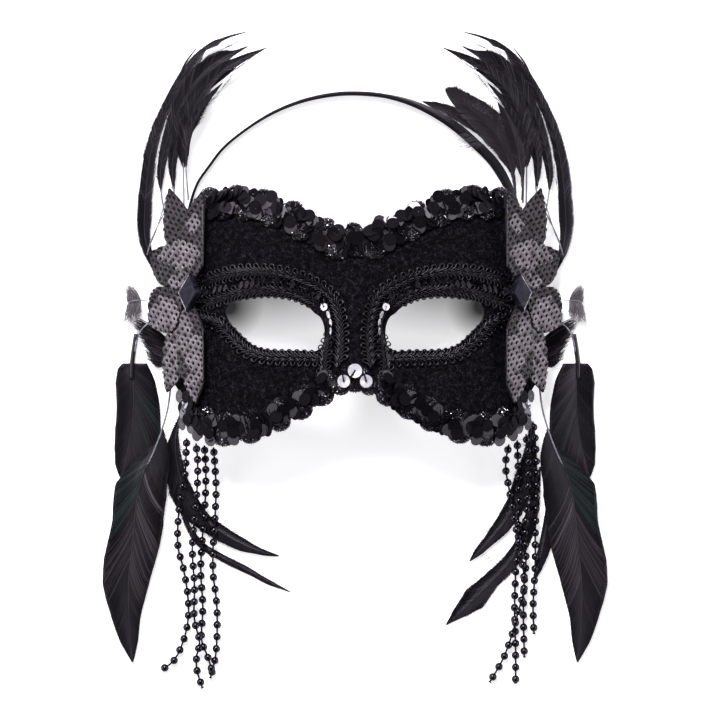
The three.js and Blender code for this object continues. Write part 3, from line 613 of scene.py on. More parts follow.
braid_cord, braid_cord_shader = new_material("gimp_cord", (0.008, 0.007, 0.009), 0.22)
braid_cord_shader.inputs["Specular IOR Level"].default_value = 0.46
braid_cord_shader.inputs["Specular Tint"].default_value = (0.97, 0.9, 1, 1)
wrapping_map = add_node(braid_cord, "ShaderNodeUVMap")
wrapping = add_node(braid_cord, "ShaderNodeTexWave", [(wrapping_map.outputs["UV"], "Vector")],
                    bands_direction="DIAGONAL", in_Scale=9, in_Distortion=1.2)
cord_fuzz = grain(braid_cord, 2600, detail=2)
cord_tones = ramp(braid_cord, cord_fuzz.outputs["Fac"], [(0.35, (0.0008, 0.0007, 0.001)), (0.55, (0.002, 0.0018, 0.0024)),
                                                         (0.72, (0.012, 0.011, 0.0132))])
wire(braid_cord, cord_tones.outputs["Color"], braid_cord_shader, "Base Color")
bumped(braid_cord, braid_cord_shader, wrapping.outputs["Fac"], 0.35, 0.00012)

picot = rope("picots", [picot_line(1), picot_line(-1)], cord_thickness / 1000)
picot.data.materials.append(braid_cord)
picot_shape = corners_of(picot) * 1000
for braid, points in braid_lines.items():
    for side, sign in (("left", 1), ("right", -1)):
        line = smooth_line([(sign * x, y) for x, y in points], 160)
        length = line_length(line)
        pitch = length / int(length / picot_pitch)
        spots = []
        for start in np.arange(0, length - 0.1, pitch):
            ahead, aside, lift = picot_shape[:, 0] + start, picot_shape[:, 1], picot_shape[:, 2] + braid_lift
            if braid == "inner_braid_upper":
                fold = np.interp(ahead / length, *nose_fold)
                lift = lift * np.cos(fold) + (sign * aside - 1.2) * np.sin(fold)
                aside = aside * np.cos(fold)
            spots.append(placed(lay_along(line, ahead, aside, lift)))
        piece = copies(picot, np.vstack(spots), f"{braid}_{side}_gimp")
        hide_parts(f"{braid}_{side}")
scrap(picot)

# Channel sequins. One row of small cup sequins on each side, stitched edge to edge in the groove between
# the two braids, so that they lean on each other. Most are black; a few are painted grey as painted sheen, and a few by
# the nose nearly white as painted glints.
small_sequin_radius = 1.9
channel_pitch = 3.5


def cup_sequin(name, radius, depth, segments=12, rim=0.46, hole=0.16, thickness=0.045):
    """A disc of thin film, facing up: a nearly flat rim, a cup in its middle and a hole in that."""
    bpy.ops.mesh.primitive_circle_add(vertices=segments, radius=radius / 1000, fill_type="NGON")
    disc = bpy.context.object
    disc.name = name
    bpy.ops.object.mode_set(mode="EDIT")
    bpy.ops.mesh.inset(thickness=rim * radius / 1000)
    bpy.ops.transform.translate(value=(0, 0, -0.25 * depth / 1000))
    bpy.ops.mesh.inset(thickness=(1 - rim - hole) * radius / 1000)
    bpy.ops.transform.translate(value=(0, 0, -0.75 * depth / 1000))
    bpy.ops.mesh.delete(type="FACE")
    bpy.ops.object.mode_set(mode="OBJECT")
    film = disc.modifiers.new("film", "SOLIDIFY")
    film.thickness = thickness / 1000
    film.offset = -1
    bpy.ops.object.modifier_apply(modifier="film")
    bpy.ops.object.shade_smooth_by_angle(angle=math.radians(25))
    return disc


def seat(x, y, lift, lean, towards, twist=0.0):
    """A 4x4 place on the face, leaning by an angle in degrees towards a direction (x, y)."""
    spot = on_face(x, y, lift)
    normal = face_normal(np.float64(x), np.float64(y))
    slope = np.array([*towards, 0.0])
    slope -= normal * slope.dot(normal)
    slope /= np.linalg.norm(slope)
    tilt = math.radians(lean)
    along = normal * math.cos(tilt) + slope * math.sin(tilt)
    side = np.cross(normal, slope)
    up = slope * math.cos(twist) + side * math.sin(twist)
    return stand(placed(spot)[0], along, up)


film_black, film_shader = new_material("sequin_film", (0.01, 0.01, 0.012), 0.5)
film_shader.inputs["Specular IOR Level"].default_value = 0.09
film_shader.inputs["Specular Tint"].default_value = (0.9, 0.78, 1, 1)
film_tone = add_node(film_black, "ShaderNodeAttribute", attribute_name="tone")
# Low tones are the sequins' own black, differing at random; higher tones paint their sheen grey, and tone 1 paints a
# white glint.
film_tint_and_painted_sheen = ramp(film_black, film_tone.outputs["Fac"], [
    (0.0, (0.0012, 0.0011, 0.0015)), (0.55, (0.0035, 0.0032, 0.004)), (0.66, (0.016, 0.014, 0.017)),
    (0.78, (0.062, 0.059, 0.064)), (0.86, (0.105, 0.102, 0.107)), (0.93, (0.48, 0.5, 0.57)), (1.0, (0.85, 0.86, 0.88))])
wire(film_black, film_tint_and_painted_sheen.outputs["Color"], film_shader, "Base Color")
film_haze = grain(film_black, 1600, detail=2)
wire(film_black, levels(film_black, film_haze.outputs["Fac"], 0.3, 0.75, 0.42, 0.58), film_shader, "Roughness")
bumped(film_black, film_shader, film_haze.outputs["Fac"], 0.12, 0.0001)

small_sequin = cup_sequin("small_sequin", small_sequin_radius, 0.45, segments=10)
small_sequin.data.materials.append(film_black)
bpy.ops.object.shade_flat()
channel_shown = [            # place, way each one leans in degrees, how far, and its tone: grey tones are painted sheen, tone 1 a painted white glint
    (-14, 25.6, 200, 4, 1), (-11.6, 21.6, 205, 38, 1), (-10.4, 17.8, 190, 36, 1), (-10.3, 13.6, 180, 38, 1),
    (-66.4, 34, 155, 40, 0.76), (-63.9, 34.4, 155, 40, 0.74), (-61.4, 34.9, 155, 42, 0.75),
    (-53.8, 36.4, 155, 42, 0.73), (-51.2, 36.8, 155, 42, 0.72), (-48.6, 37, 155, 44, 0.7), (-46, 37.2, 155, 46, 0.68)]
for side, sign in (("left", 1), ("right", -1)):
    chance = random.Random(5)
    upper, lower = (smooth_line(braid_lines[name], 160) for name in ("outer_braid", "inner_braid_upper"))
    middle = (upper + lower) / 2 * (sign, 1, 1)
    middle[:, 1] += 0.4
    length = line_length(middle)
    reach = np.linspace(0, 1, 160)
    number = int(length / channel_pitch)
    places, tones = [], []
    for i in range(1, number):
        share = i / number
        x, y = (np.interp(share, reach, middle[:, k]) for k in (0, 1))
        ahead = [np.interp(share + 0.02, reach, middle[:, k]) - (x, y)[k] for k in (0, 1)]
        if min(math.hypot(abs(x) + spot[0], y - spot[1]) for spot in channel_shown) < 1.8:
            continue
        lean = chance.choice((-1, 1)) * chance.uniform(30, 62)
        places.append(seat(x, y, 1.5 + 0.5 * chance.random(), lean, ahead, chance.random() * 0.6))
        tones.append(chance.uniform(0.1, 0.68))
    for x, y, facing, lean, tone in channel_shown:
        towards = (sign * math.cos(math.radians(facing)), math.sin(math.radians(facing)))
        places.append(seat(sign * x, y, 2.5, lean, towards))
        tones.append(tone)
    row = copies(small_sequin, set_at(small_sequin, places), f"channel_sequins_{side}", tones)

# Trims along the two long edges. A strip of black tinsel yarn with half rounds of tiny glass beads sewn
# along both its edges, and cup sequins stitched over it, loose and overlapping like scales.
sequin_radius = 3.1
ground_half_width = 4.6
fan_radius = 5.2

top_edge_line = [
    (-70.5, 74.5), (-62, 75.8), (-52, 75.3), (-44, 73.5), (-36, 70.5), (-28, 66.8), (-20, 62.5), (-12, 58.3),
    (-5.5, 55.8), (0, 57.5)]
bottom_edge_line = [
    (-79.5, -20), (-77.5, -27), (-72, -31), (-65, -33), (-57, -33.3), (-49, -31.8), (-41, -28.8), (-33, -24.5),
    (-25, -20.5), (-17, -15.8), (-10, -11.5), (-4, -9.3), (0, -9)]

tinsel, tinsel_shader = new_material("tinsel_yarn", (0.006, 0.0056, 0.0068), 0.35)
tinsel_shader.inputs["Specular Tint"].default_value = (0.9, 0.78, 1, 1)
fibres = grain(tinsel, 2400, detail=2)
tinsel_tint = ramp(tinsel, fibres.outputs["Fac"], [(0.35, (0.0025, 0.0025, 0.003)), (0.6, (0.008, 0.0078, 0.0085)),
                                                   (0.72, (0.12, 0.118, 0.125))])
wire(tinsel, tinsel_tint.outputs["Color"], tinsel_shader, "Base Color")
wire(tinsel, levels(tinsel, fibres.outputs["Fac"], 0.58, 0.72, 0.0, 1.0), tinsel_shader, "Metallic")
bumped(tinsel, tinsel_shader, fibres.outputs["Fac"], 1.0, 0.0003)
glitter, glitter_shader = new_material("tinsel_glitter", (0.35, 0.35, 0.37), 0.24, 1.0)
glitter_tone = add_node(glitter, "ShaderNodeAttribute", attribute_name="tone")
glitter_tint = ramp(glitter, glitter_tone.outputs["Fac"], [(0.0, (0.008, 0.0075, 0.009)), (0.55, (0.04, 0.038, 0.044)),
                                                           (0.85, (0.22, 0.21, 0.23)), (1.0, (0.75, 0.76, 0.8))])
wire(glitter, glitter_tint.outputs["Color"], glitter_shader, "Base Color")
wire(glitter, levels(glitter, grain(glitter, 3000, detail=1).outputs["Fac"], 0.3, 0.7, 0.18, 0.36), glitter_shader,
     "Roughness")

# One fan: rows of tiny glass beads sewn in half circles over a pad, drawn flat with its foot at zero
fan_spots = []
for row, radius in enumerate((0.7, 1.4, 2.1, 2.8, 3.5, 4.1, 4.7, fan_radius)):
    number = int(radius * math.radians(200) / 0.76) + 2
    for turn in np.radians(np.linspace(-100, 100, number)):
        dome = 1.5 * math.sqrt(max(0, 1 - (radius / (fan_radius + 0.5)) ** 2))
        fan_spots.append((radius * math.sin(turn), radius * math.cos(turn), 0.9 + dome))
fan_spots = np.array(fan_spots)
bpy.ops.mesh.primitive_uv_sphere_add(segments=4, ring_count=3, radius=0.00042)
seed_bead = bpy.context.object
bpy.ops.object.mode_set(mode="EDIT")
bpy.ops.transform.resize(value=(1, 1, 0.7))
bpy.ops.object.mode_set(mode="OBJECT")
seed_bead.data.materials.append(glitter)
bpy.ops.mesh.primitive_uv_sphere_add(segments=14, ring_count=6, radius=1)
pad = bpy.context.object
bpy.ops.object.mode_set(mode="EDIT")
bpy.ops.transform.resize(value=(fan_radius + 0.15, fan_radius + 0.15, 1.7))
bpy.ops.object.mode_set(mode="OBJECT")
bpy.ops.object.shade_smooth()
pad.data.materials.append(tinsel)
pad_shape = corners_of(pad)
big_sequin = cup_sequin("big_sequin", sequin_radius, 0.01, segments=18, rim=0.5, hole=0.07)
big_sequin.data.materials.append(film_black)
bpy.ops.object.shade_flat()

# Sequins that show as whole discs or as crescents: place, way the bare part faces in degrees, lean and tone.
# Their grey tones are painted sheen, and a tone near 1 a painted white glint. The last value tells where it is: on both
# sides (0), left (1) or right (-1).
top_shown = [
    (-52.9, 80.5, 80, 12, 0.80, 0), (-50, 75.2, -42, 15, 0.8, 0), (-58.2, 72.5, -5, 24, 0.79, 0),
    (-42.6, 74.7, -30, 6, 0.76, 0), (-45.5, 69.7, -62, 14, 0.82, 0), (-48.4, 70.8, -125, 12, 0.74, 0),
    (-38.4, 75.4, -70, 9, 0.82, 0), (-37.7, 71.5, 178, 38, 0.84, 0), (-35, 70.4, -45, 14, 0.87, 0),
    (-26.9, 69.5, 185, 30, 0.72, 0), (-30.3, 62.8, -85, 14, 0.74, 0), (-20.2, 66.3, -55, 14, 0.83, 0),
    (-22.7, 71.2, 65, 12, 1.0, 0), (-6.9, 64.4, 70, 10, 0.97, 0), (-9.4, 61.3, 100, 20, 0.62, 0),
    (-16.3, 54.8, -80, 10, 0.66, 0), (-1.8, 55.6, -100, 14, 0.6, 0), (-68.5, 77.8, 165, 25, 0.74, 0),
    (-64.5, 78.8, 145, 37, 0.86, 1), (-62.9, 79.3, 140, 36, 0.85, 1), (-60.3, 78.6, 140, 33, 0.68, 0),
    (-57.9, 80, 138, 31, 0.7, 0), (-55.7, 80.8, 135, 33, 0.66, 0), (-63.3, 75, 160, 28, 0.62, 0),
    (-28, 72.4, 50, 8, 1.0, -1), (-16.5, 67.3, 65, 20, 0.97, -1), (-11.8, 66.2, 110, 14, 0.7, -1),
    (-6.2, 64, 80, 18, 0.97, -1), (-66.3, 73, -60, 16, 0.6, 0), (-11.3, 57.6, -110, 16, 0.64, 0)]
bottom_shown = [
    (-83, -17.5, 175, 6, 0.86, 0), (-80.2, -20.4, 170, 14, 0.93, 0), (-80.3, -24, 200, 6, 0.82, 0),
    (-81.2, -26.5, 190, 8, 0.88, 0), (-78, -28.4, 160, 10, 0.93, 0), (-81.5, -31, 215, 8, 0.84, 0),
    (-76.7, -25, 60, 10, 0.7, 0), (-66.8, -29, 45, 12, 0.78, 0), (-69.2, -33.8, -90, 10, 0.77, 0),
    (-73.5, -35, 215, 10, 0.78, 0), (-68.4, -38.7, -90, 16, 0.85, 0), (-62.6, -34.9, -100, 10, 0.78, 0),
    (-57.5, -33.3, -80, 8, 0.77, 0), (-57.2, -38.1, -90, 14, 0.78, 0), (-56.2, -29, 120, 8, 0.77, 0),
    (-53, -29.6, 40, 10, 0.76, 0), (-53, -33.3, -30, 12, 0.76, 0), (-43.9, -33.3, -45, 10, 0.73, 0),
    (-38.8, -23.7, 120, 10, 0.73, 0), (-27, -17.9, 165, 16, 0.78, 0), (-21.7, -17.9, 155, 16, 0.77, 0),
    (-30.2, -24.3, -80, 12, 0.75, 0), (-19.7, -19.5, -70, 12, 0.76, 0), (-14.3, -7.5, 100, 30, 0.76, 0),
    (-47.5, -31, 90, 12, 0.7, 0), (-34.5, -27.5, -100, 14, 0.7, 0), (-77.6, -32.6, 200, 8, 0.86, 0),
    (-74.8, -36.2, 230, 8, 0.8, 0)]


def trim(name, node, half_line, half_widths, fans, shown, bare_width, seed):
    """Both halves of a trim, the right one the mirror of the left; its ground, fans, sequins and pads are each one
    piece over both halves.
    """
    left = smooth_line(half_line, 200)
    length = line_length(left)
    chance = np.random.default_rng(seed)
    width_at = lambda ahead: np.interp(ahead / length, *half_widths)
    whole = np.vstack([left, left[-2::-1] * (-1, 1, 1)])
    rows = np.linspace(0, 2 * length, 260)
    half = width_at(length - np.abs(length - rows))[:, None] * ground_half_width / 6.2
    across = np.array([-1, -0.8, -0.3, 0.3, 0.8, 1])
    height = np.array([0.15, 1, 1.35, 1.35, 1, 0.15])
    wave = 1 + 0.1 * np.sin(rows * 2 * math.pi / 2.1)[:, None] * np.cos(across * 9)[None]
    top = placed(lay_along(whole, np.repeat(rows[:, None], 6, 1), across * half, 0.1 + height * wave))
    bottom = placed(lay_along(whole, np.repeat(rows[:, None], 6, 1), across * half, np.full_like(half * across, 0.05)))
    bpy.ops.mesh.primitive_grid_add(x_subdivisions=259, y_subdivisions=5, size=1)
    ground = bpy.context.object
    flat = corners_of(ground)
    row = np.round((flat[:, 0] + 0.5) * 259).astype(int)
    column = np.round((flat[:, 1] + 0.5) * 5).astype(int)
    ground.data.vertices.foreach_set("co", top.reshape(260, 6, 3)[row, column].ravel())
    bpy.ops.object.mode_set(mode="EDIT")
    bpy.ops.mesh.select_all(action="SELECT")
    bpy.ops.mesh.normals_make_consistent(inside=False)
    bpy.ops.object.mode_set(mode="OBJECT")
    base = ground.modifiers.new("base", "SOLIDIFY")
    base.thickness = 0.0004
    base.offset = -1
    bpy.ops.object.modifier_apply(modifier="base")
    bpy.ops.object.shade_smooth()
    ground.data.materials.append(tinsel)
    ground.name = f"{name}_ground"
    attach(ground, "root")
    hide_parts(node)

    pads, beads, bead_tones, sequins, sequin_tones = [], [], [], [], []
    for sign in (1, -1):
        chance = np.random.default_rng(seed)
        line = left * (sign, 1, 1)
        reach = np.linspace(0, length, 200)
        for fan_x, edge in fans:
            if sign < 0 and fan_x > -1:
                continue
            foot = np.interp(fan_x, left[:, 0], reach)
            spots = fan_spots + chance.normal(0, 0.09, fan_spots.shape)
            pads.append(placed(lay_along(line, foot + pad_shape[:, 0], pad_shape[:, 1] + sign * edge
                                         * (width_at(foot) - 3), 0.6 + pad_shape[:, 2])))
            out = width_at(foot) - 3 + spots[:, 1]
            points = placed(lay_along(line, foot + spots[:, 0], sign * edge * out, spots[:, 2]))
            turns = chance.normal(size=(len(points), 2, 3))
            beads += [stand(point, along, up) for point, (along, up) in zip(points, turns)]
            bead_tones += list(chance.random(len(points)))
        spots = chance.uniform(0, length, 900)
        outs = chance.uniform(-0.95, 0.95, 900) * width_at(spots)
        points = placed(lay_along(line, spots, sign * outs, chance.uniform(1.2, 1.9, 900)))
        turns = chance.normal(size=(900, 2, 3))
        beads += [stand(point, along, up) for point, (along, up) in zip(points, turns)]
        bead_tones += list(0.8 * chance.random(900))
        for lane, (aside, pitch) in enumerate(((-0.66, 2.5), (-0.2, 2.7), (0.22, 2.6), (0.66, 2.5))):
            for ahead in np.arange(1.5 + lane * 0.8, length - 0.5, pitch):
                draw = chance.random(6)
                if draw[5] > 0.6:
                    continue
                out = sign * (aside + 0.2 * (draw[0] - 0.5)) * width_at(ahead)
                spot = lay_along(line, np.array([ahead]), np.array([out]), 0)[0]
                towards = lay_along(line, np.array([ahead + 2]), np.array([out + 4 * draw[1] - 2]), 0)[0] - spot
                sequins.append(seat(spot[0], spot[1], 1.7 + 0.5 * draw[2], -12 - 22 * draw[3], towards[:2]))
                sequin_tones.append(0.45 * draw[4])
        for x, y, facing, lean, tone, where in shown:
            if where == -sign:
                continue
            bare = np.array([sign * math.cos(math.radians(facing)), math.sin(math.radians(facing))])
            sequins.append(seat(sign * x, y, 2.8, lean, bare, 0.6))
            sequin_tones.append(tone)
            step = 2.9 if tone > 0.9 else bare_width if lean < 25 else 1.2
            over = np.array([sign * x, y]) - bare * step
            sequins.append(seat(over[0], over[1], 3.05 + step * math.tan(math.radians(lean)), lean, bare, 0.3))
            sequin_tones.append(0.4 * chance.random())
    for part, places, tones, label in ((seed_bead, set_at(seed_bead, beads), bead_tones, "fans"),
                                       (big_sequin, set_at(big_sequin, sequins), sequin_tones, "sequins"),
                                       (pad, np.vstack(pads), None, "pads")):
        piece = copies(part, places, f"{name}_{label}", tones)


trim("top_trim", "sequin_trim_top", top_edge_line, ((0, 1), (6.2, 6.2)),
     [(-68.9, 1), (-56.6, 1), (-44.4, 1), (-30.7, 1), (-15.1, 1), (0, 1),
      (-63.4, -1), (-52.3, -1), (-39.8, -1), (-24.5, -1), (-8.4, -1), (0, -1)], top_shown, bare_width=2.4, seed=51)
trim("bottom_trim", "sequin_trim_bottom", bottom_edge_line, ((0, 0.16, 0.84, 1), (4.5, 6.2, 5, 4.2)),
     [(-73, 1), (-61.9, 1), (-48.5, 1), (-34.1, 1), (-22.5, 1), (-11.5, 1), (0, 1),
      (-62.4, -1), (-50.4, -1), (-37, -1), (-26.4, -1), (-15.8, -1), (-7, -1), (0, -1)], bottom_shown, bare_width=3.6, seed=52)
scrap(pad, seed_bead, small_sequin, big_sequin)

# Nose sequins. Three bright cup sequins, each held by a black thread from its hole out over its rim.
nose_sequins = {             # across, up, radius, lean in degrees, which way it leans, and its turn
    "nose_sequin_middle": (0, -5.7, 3.4, 6, (0.2, -1), 1.57),
    "nose_sequin_left": (-3, -10.4, 3.1, 20, (1, -0.7), -1.62),
    "nose_sequin_right": (3, -10.4, 3.1, 20, (-1, -0.7), 0.5),
}
silver_film, silver_shader = new_material("silver_film", (0.86, 0.87, 0.89), 0.3, 0.35)
silver_haze = grain(silver_film, 700, detail=2)
silver_tint = ramp(silver_film, silver_haze.outputs["Fac"], [(0.3, (0.72, 0.73, 0.77)), (0.6, (0.93, 0.94, 0.95))])
wire(silver_film, silver_tint.outputs["Color"], silver_shader, "Base Color")
bumped(silver_film, silver_shader, silver_haze.outputs["Fac"], 0.1, 0.0002)
for name, (x, y, radius, lean, towards, turn) in nose_sequins.items():
    bright = cup_sequin(f"{name}_film", radius, 0.5, segments=32, hole=0.15, thickness=0.15)
    bright.data.materials.append(silver_film)
    at = seat(x, y, 4.6, lean, towards, turn)
    thread_run = [(0, 0, -1.2), (0, 0, 0.1), (-0.5, -0.45, 0.25), (-0.62 * radius, -0.6 * radius, 0.5),
                  (-0.78 * radius, -0.76 * radius, 0.2), (-0.8 * radius, -0.78 * radius, -1.2)]
    stitch = rope(f"{name}_stitch", [smooth_line(thread_run, 24) / 1000], 0.0008)
    stitch.data.materials.append(thread_black)
    for piece in (bright, stitch):
        piece.data.transform(at)
        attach(piece, "root")
    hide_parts(name)

# Flowers. Six pointed petals on each side, cut from dark cloth sewn all over with cupped gunmetal
# sequins that overlap like scales. The petals lean out with the side of the face, in three layers.
flower_centre = (-79, 33, 25)
flower_tilt = math.radians(42)
petal_layer = 1.3
petal_thickness = 0.7
petal_root = 3.5
cloth_sequin_radius = 2.05
row_rise = 2.47              # between rows of sequins, up the flower
row_pitch = 3.6              # between sequins in a row
inner_cut = -10.9            # the petals beside the velvet are cut straight, this far in from the middle
petals = [                   # direction from straight out in degrees, length, breadth to each side, layer
    (100, 48.5, 9.5, 12, 2), (74, 52, 7.5, 12, 1), (35, 33.5, 8, 12.5, 0), (-31, 30.5, 11.5, 12, 2),
    (-72, 51, 11.5, 7, 1), (-95, 54, 12, 8.5, 2)]
# Where the light catches the petals, painted as pale sequins (painted light), each patch an oval on the face: x, y,
# half width, half height
painted_light_patches = [(-83.5, 50.5, 9.2, 6.4), (-85.5, 36, 3.6, 9), (-78.5, 66, 2.6, 4.4), (-92.5, 18.5, 8.4, 11.5),
                (-85, 13, 7.6, 10), (-76.5, -4, 6.4, 17), (-89, -6, 4.4, 13), (-94.5, 50, 1, 1.4)]
# Ovals within those that stay dark: painted shade
painted_shade_patches = [(-76, 20, 3.4, 9.5), (-84, -7.5, 2, 6), (-88, 31, 3, 3)]
petal_shares = ((0, 0.08, 0.2, 0.31, 0.42, 0.52, 0.62, 0.72, 0.8, 0.87, 0.93, 1),
                (0.14, 0.36, 0.62, 0.83, 0.97, 1, 0.95, 0.82, 0.64, 0.45, 0.25, 0.015))


def on_flower(out, up, height, sign=1):
    """Places on the flower's own plane, by how far out and up they are and their height off it."""
    out, up, height = (np.array(v, float) for v in np.broadcast_arrays(out, up, height))
    x = flower_centre[0] - math.cos(flower_tilt) * out - math.sin(flower_tilt) * height
    y = flower_centre[1] + up
    z = flower_centre[2] - math.sin(flower_tilt) * out + math.cos(flower_tilt) * height
    return np.stack([sign * x, y, z], axis=-1)


def petal_rise(share, edge):
    """How far a place on a petal stands above its plane: hollow along the middle, tip bent back."""
    return 0.55 * edge ** 2 - 0.35 + 0.5 * np.sin(math.pi * share) - 1.3 * np.clip(share - 0.45, 0, 1) ** 2 * 2.4


def inside(patches, x, y):
    return any(((x - px) / wide) ** 2 + ((y - py) / high) ** 2 < 1 for px, py, wide, high in patches)


gunmetal, gunmetal_shader = new_material("gunmetal_sequin", (0.2, 0.17, 0.185), 0.4, 0.3)
# The tone paints light and shade on the sequins: low tones dark, high tones pale.
gunmetal_tone = add_node(gunmetal, "ShaderNodeAttribute", attribute_name="tone")
gunmetal_tint_and_painted_light = ramp(gunmetal, gunmetal_tone.outputs["Fac"], [(0.0, (0.022, 0.018, 0.02)), (0.4, (0.05, 0.042, 0.046)),
                                                              (0.6, (0.17, 0.148, 0.162)), (1.0, (0.31, 0.275, 0.3))])
wire(gunmetal, gunmetal_tint_and_painted_light.outputs["Color"], gunmetal_shader, "Base Color")
gunmetal_haze = grain(gunmetal, 900, detail=2)
wire(gunmetal, levels(gunmetal, gunmetal_haze.outputs["Fac"], 0.3, 0.7, 0.32, 0.5), gunmetal_shader, "Roughness")
bumped(gunmetal, gunmetal_shader, gunmetal_haze.outputs["Fac"], 0.12, 0.0001)
backing_cloth, cloth_shader = new_material("petal_cloth", (0.003, 0.0025, 0.003), 0.9)
cloth_weave = grain(backing_cloth, 2800, detail=2)
cloth_tint = ramp(backing_cloth, cloth_weave.outputs["Fac"], [(0.35, (0.0015, 0.0013, 0.0015)), (0.7, (0.006, 0.005, 0.006))])
wire(backing_cloth, cloth_tint.outputs["Color"], cloth_shader, "Base Color")
bumped(backing_cloth, cloth_shader, cloth_weave.outputs["Fac"], 0.5, 0.0002)

cloth_sequin = cup_sequin("cloth_sequin", cloth_sequin_radius, 0.3, segments=14, rim=0.3, hole=0.38, thickness=0.1)
cloth_sequin.data.materials.append(gunmetal)
sequin_shape = corners_of(cloth_sequin) * 1000
for i, (direction, length, low_breadth, high_breadth, layer) in enumerate(petals):
    heading = math.radians(direction)
    ahead_out, ahead_up = math.cos(heading), math.sin(heading)
    for side, sign in (("left", 1), ("right", -1)):
        chance = np.random.default_rng(61 + i)
        base = layer * petal_layer

        bpy.ops.mesh.primitive_grid_add(x_subdivisions=30, y_subdivisions=8, size=1)
        cloth = bpy.context.object
        cloth.name = f"petal_{i + 1}_{side}_cloth"
        flat = corners_of(cloth)
        share, edge = flat[:, 0] + 0.5, flat[:, 1] * 2
        reach = petal_root + share * (length - petal_root)
        breadth = np.where(edge < 0, low_breadth, high_breadth)
        aside = edge * breadth * np.interp(share, *petal_shares)
        height = base + petal_rise(share, edge) + 0.35
        outward = ahead_out * reach - ahead_up * aside
        if abs(direction) > 90:
            outward = np.maximum(outward, inner_cut)
        spots = on_flower(outward, ahead_up * reach + ahead_out * aside, height, sign)
        cloth.data.vertices.foreach_set("co", placed(spots).ravel())
        bpy.ops.object.mode_set(mode="EDIT")
        bpy.ops.mesh.select_all(action="SELECT")
        bpy.ops.mesh.remove_doubles(threshold=1e-6)
        bpy.ops.mesh.normals_make_consistent(inside=False)
        bpy.ops.object.mode_set(mode="OBJECT")
        if cloth.data.polygons[len(cloth.data.polygons) // 2].normal.z < 0:
            cloth.data.flip_normals()
        felt = cloth.modifiers.new("felt", "SOLIDIFY")
        felt.thickness = 0.0005
        felt.offset = -1
        bpy.ops.object.modifier_apply(modifier="felt")
        bpy.ops.object.shade_smooth()
        cloth.data.materials.append(backing_cloth)
        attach(cloth, "root")
        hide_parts(f"petal_{i + 1}_{side}")

        corners, tones = [], []
        for row in range(-26, 27):
            for column in range(-18, 19):
                jitter = chance.normal(0, 0.14, 2)
                lean, roll, tone = chance.normal(0, 1, 3)
                out = (column + 0.5 * (row % 2)) * row_pitch + jitter[0] + 0.9 * i
                up = row * row_rise + jitter[1] + 0.7 * i + 0.24 * out
                own_reach = out * ahead_out + up * ahead_up
                own_aside = up * ahead_out - out * ahead_up
                own_share = (own_reach - petal_root) / (length - petal_root)
                limit = np.interp(own_share, *petal_shares) * (low_breadth if own_aside < 0 else high_breadth)
                cut = abs(direction) > 90 and out < inner_cut - 0.5
                if not 0 < own_share < 0.985 or abs(own_aside) > limit + 0.3 * cloth_sequin_radius or cut:
                    continue
                x, y = sequin_shape[:, 0], sequin_shape[:, 1]
                reach = own_reach + x * ahead_out + y * ahead_up
                aside = own_aside + y * ahead_out - x * ahead_up
                share = np.clip((reach - petal_root) / (length - petal_root), 0, 1)
                reach = petal_root + share * (length - petal_root)
                room = np.interp(share, *petal_shares) * (low_breadth if own_aside < 0 else high_breadth) + 0.12
                aside = np.clip(aside, -room, room)
                height = base + petal_rise(share, np.clip(aside / room, -1, 1)) + 0.62
                height = height + sequin_shape[:, 2] + 0.33 + y * (0.11 + 0.03 * lean) + x * 0.04 * roll
                outward = ahead_out * reach - ahead_up * aside
                if abs(direction) > 90:
                    outward = np.maximum(outward, inner_cut - 0.1)
                spot = on_flower(outward, ahead_up * reach + ahead_out * aside, height, sign)
                corners.append(placed(spot))
                middle = spot.mean(axis=0) * (sign, 1, 1)
                # Sequins in a painted light patch get a pale tone and the rest a dark one, painted light and shade with
                # a random spread
                lit = inside(painted_light_patches, middle[0], middle[1]) and not inside(painted_shade_patches, middle[0], middle[1])
                tones.append(np.clip((0.66 if lit else 0.16) + 0.12 * tone, 0, 1))
        scales = copies(cloth_sequin, np.vstack(corners), f"petal_{i + 1}_{side}_sequins", tones)
        if sign > 0:
            scales.data.flip_normals()
scrap(cloth_sequin)

# The straight cut edges beside the velvet are bound with a fine pale thread.
pale_thread, pale_thread_shader = new_material("hem_thread", (0.2, 0.19, 0.2), 0.5)
hem_fuzz = grain(pale_thread, 2200, detail=2)
hem_tint = ramp(pale_thread, hem_fuzz.outputs["Fac"], [(0.38, (0.02, 0.018, 0.02)), (0.62, (0.2, 0.19, 0.2))])
wire(pale_thread, hem_tint.outputs["Color"], pale_thread_shader, "Base Color")
hem_runs = {"petal_1": (12, 42), "petal_6": (-18, -43)}   # how far up the flower each hem begins and ends
for petal, (first, last) in hem_runs.items():
    for side, sign in (("left", 1), ("right", -1)):
        up = np.linspace(first, last, 24)
        run = placed(on_flower(inner_cut - 0.15 + 0.04 * np.sin(up * 3), up, 2 * petal_layer + 1.1, sign))
        hem = rope(f"{petal}_{side}_hem", [run], 0.0003)
        hem.data.materials.append(pale_thread)
        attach(hem, "root")

# Jewels. A black glass rhombus at the middle of each flower, ground with a flat table and eight sides.
# Its deep back is glued down between the petals, turned a little to the front. One edge has a painted highlight, pale
# on the faces that lean one way.
girdle_rise = 1.1
table_rise = 2.3
back_depth = 3.4                       # of the part that sinks into the petals
jewel_half_height, jewel_half_width = 9.8, 5.7
jewel_inset, jewel_slant = 4.3, 0.11   # towards the middle of the face, and over at its top
jewel_drop = 0.5
jewel_turn = math.radians(15)          # back towards the front, off the petals' plane
jewel_base = 3 * petal_layer + petal_thickness + 1.4

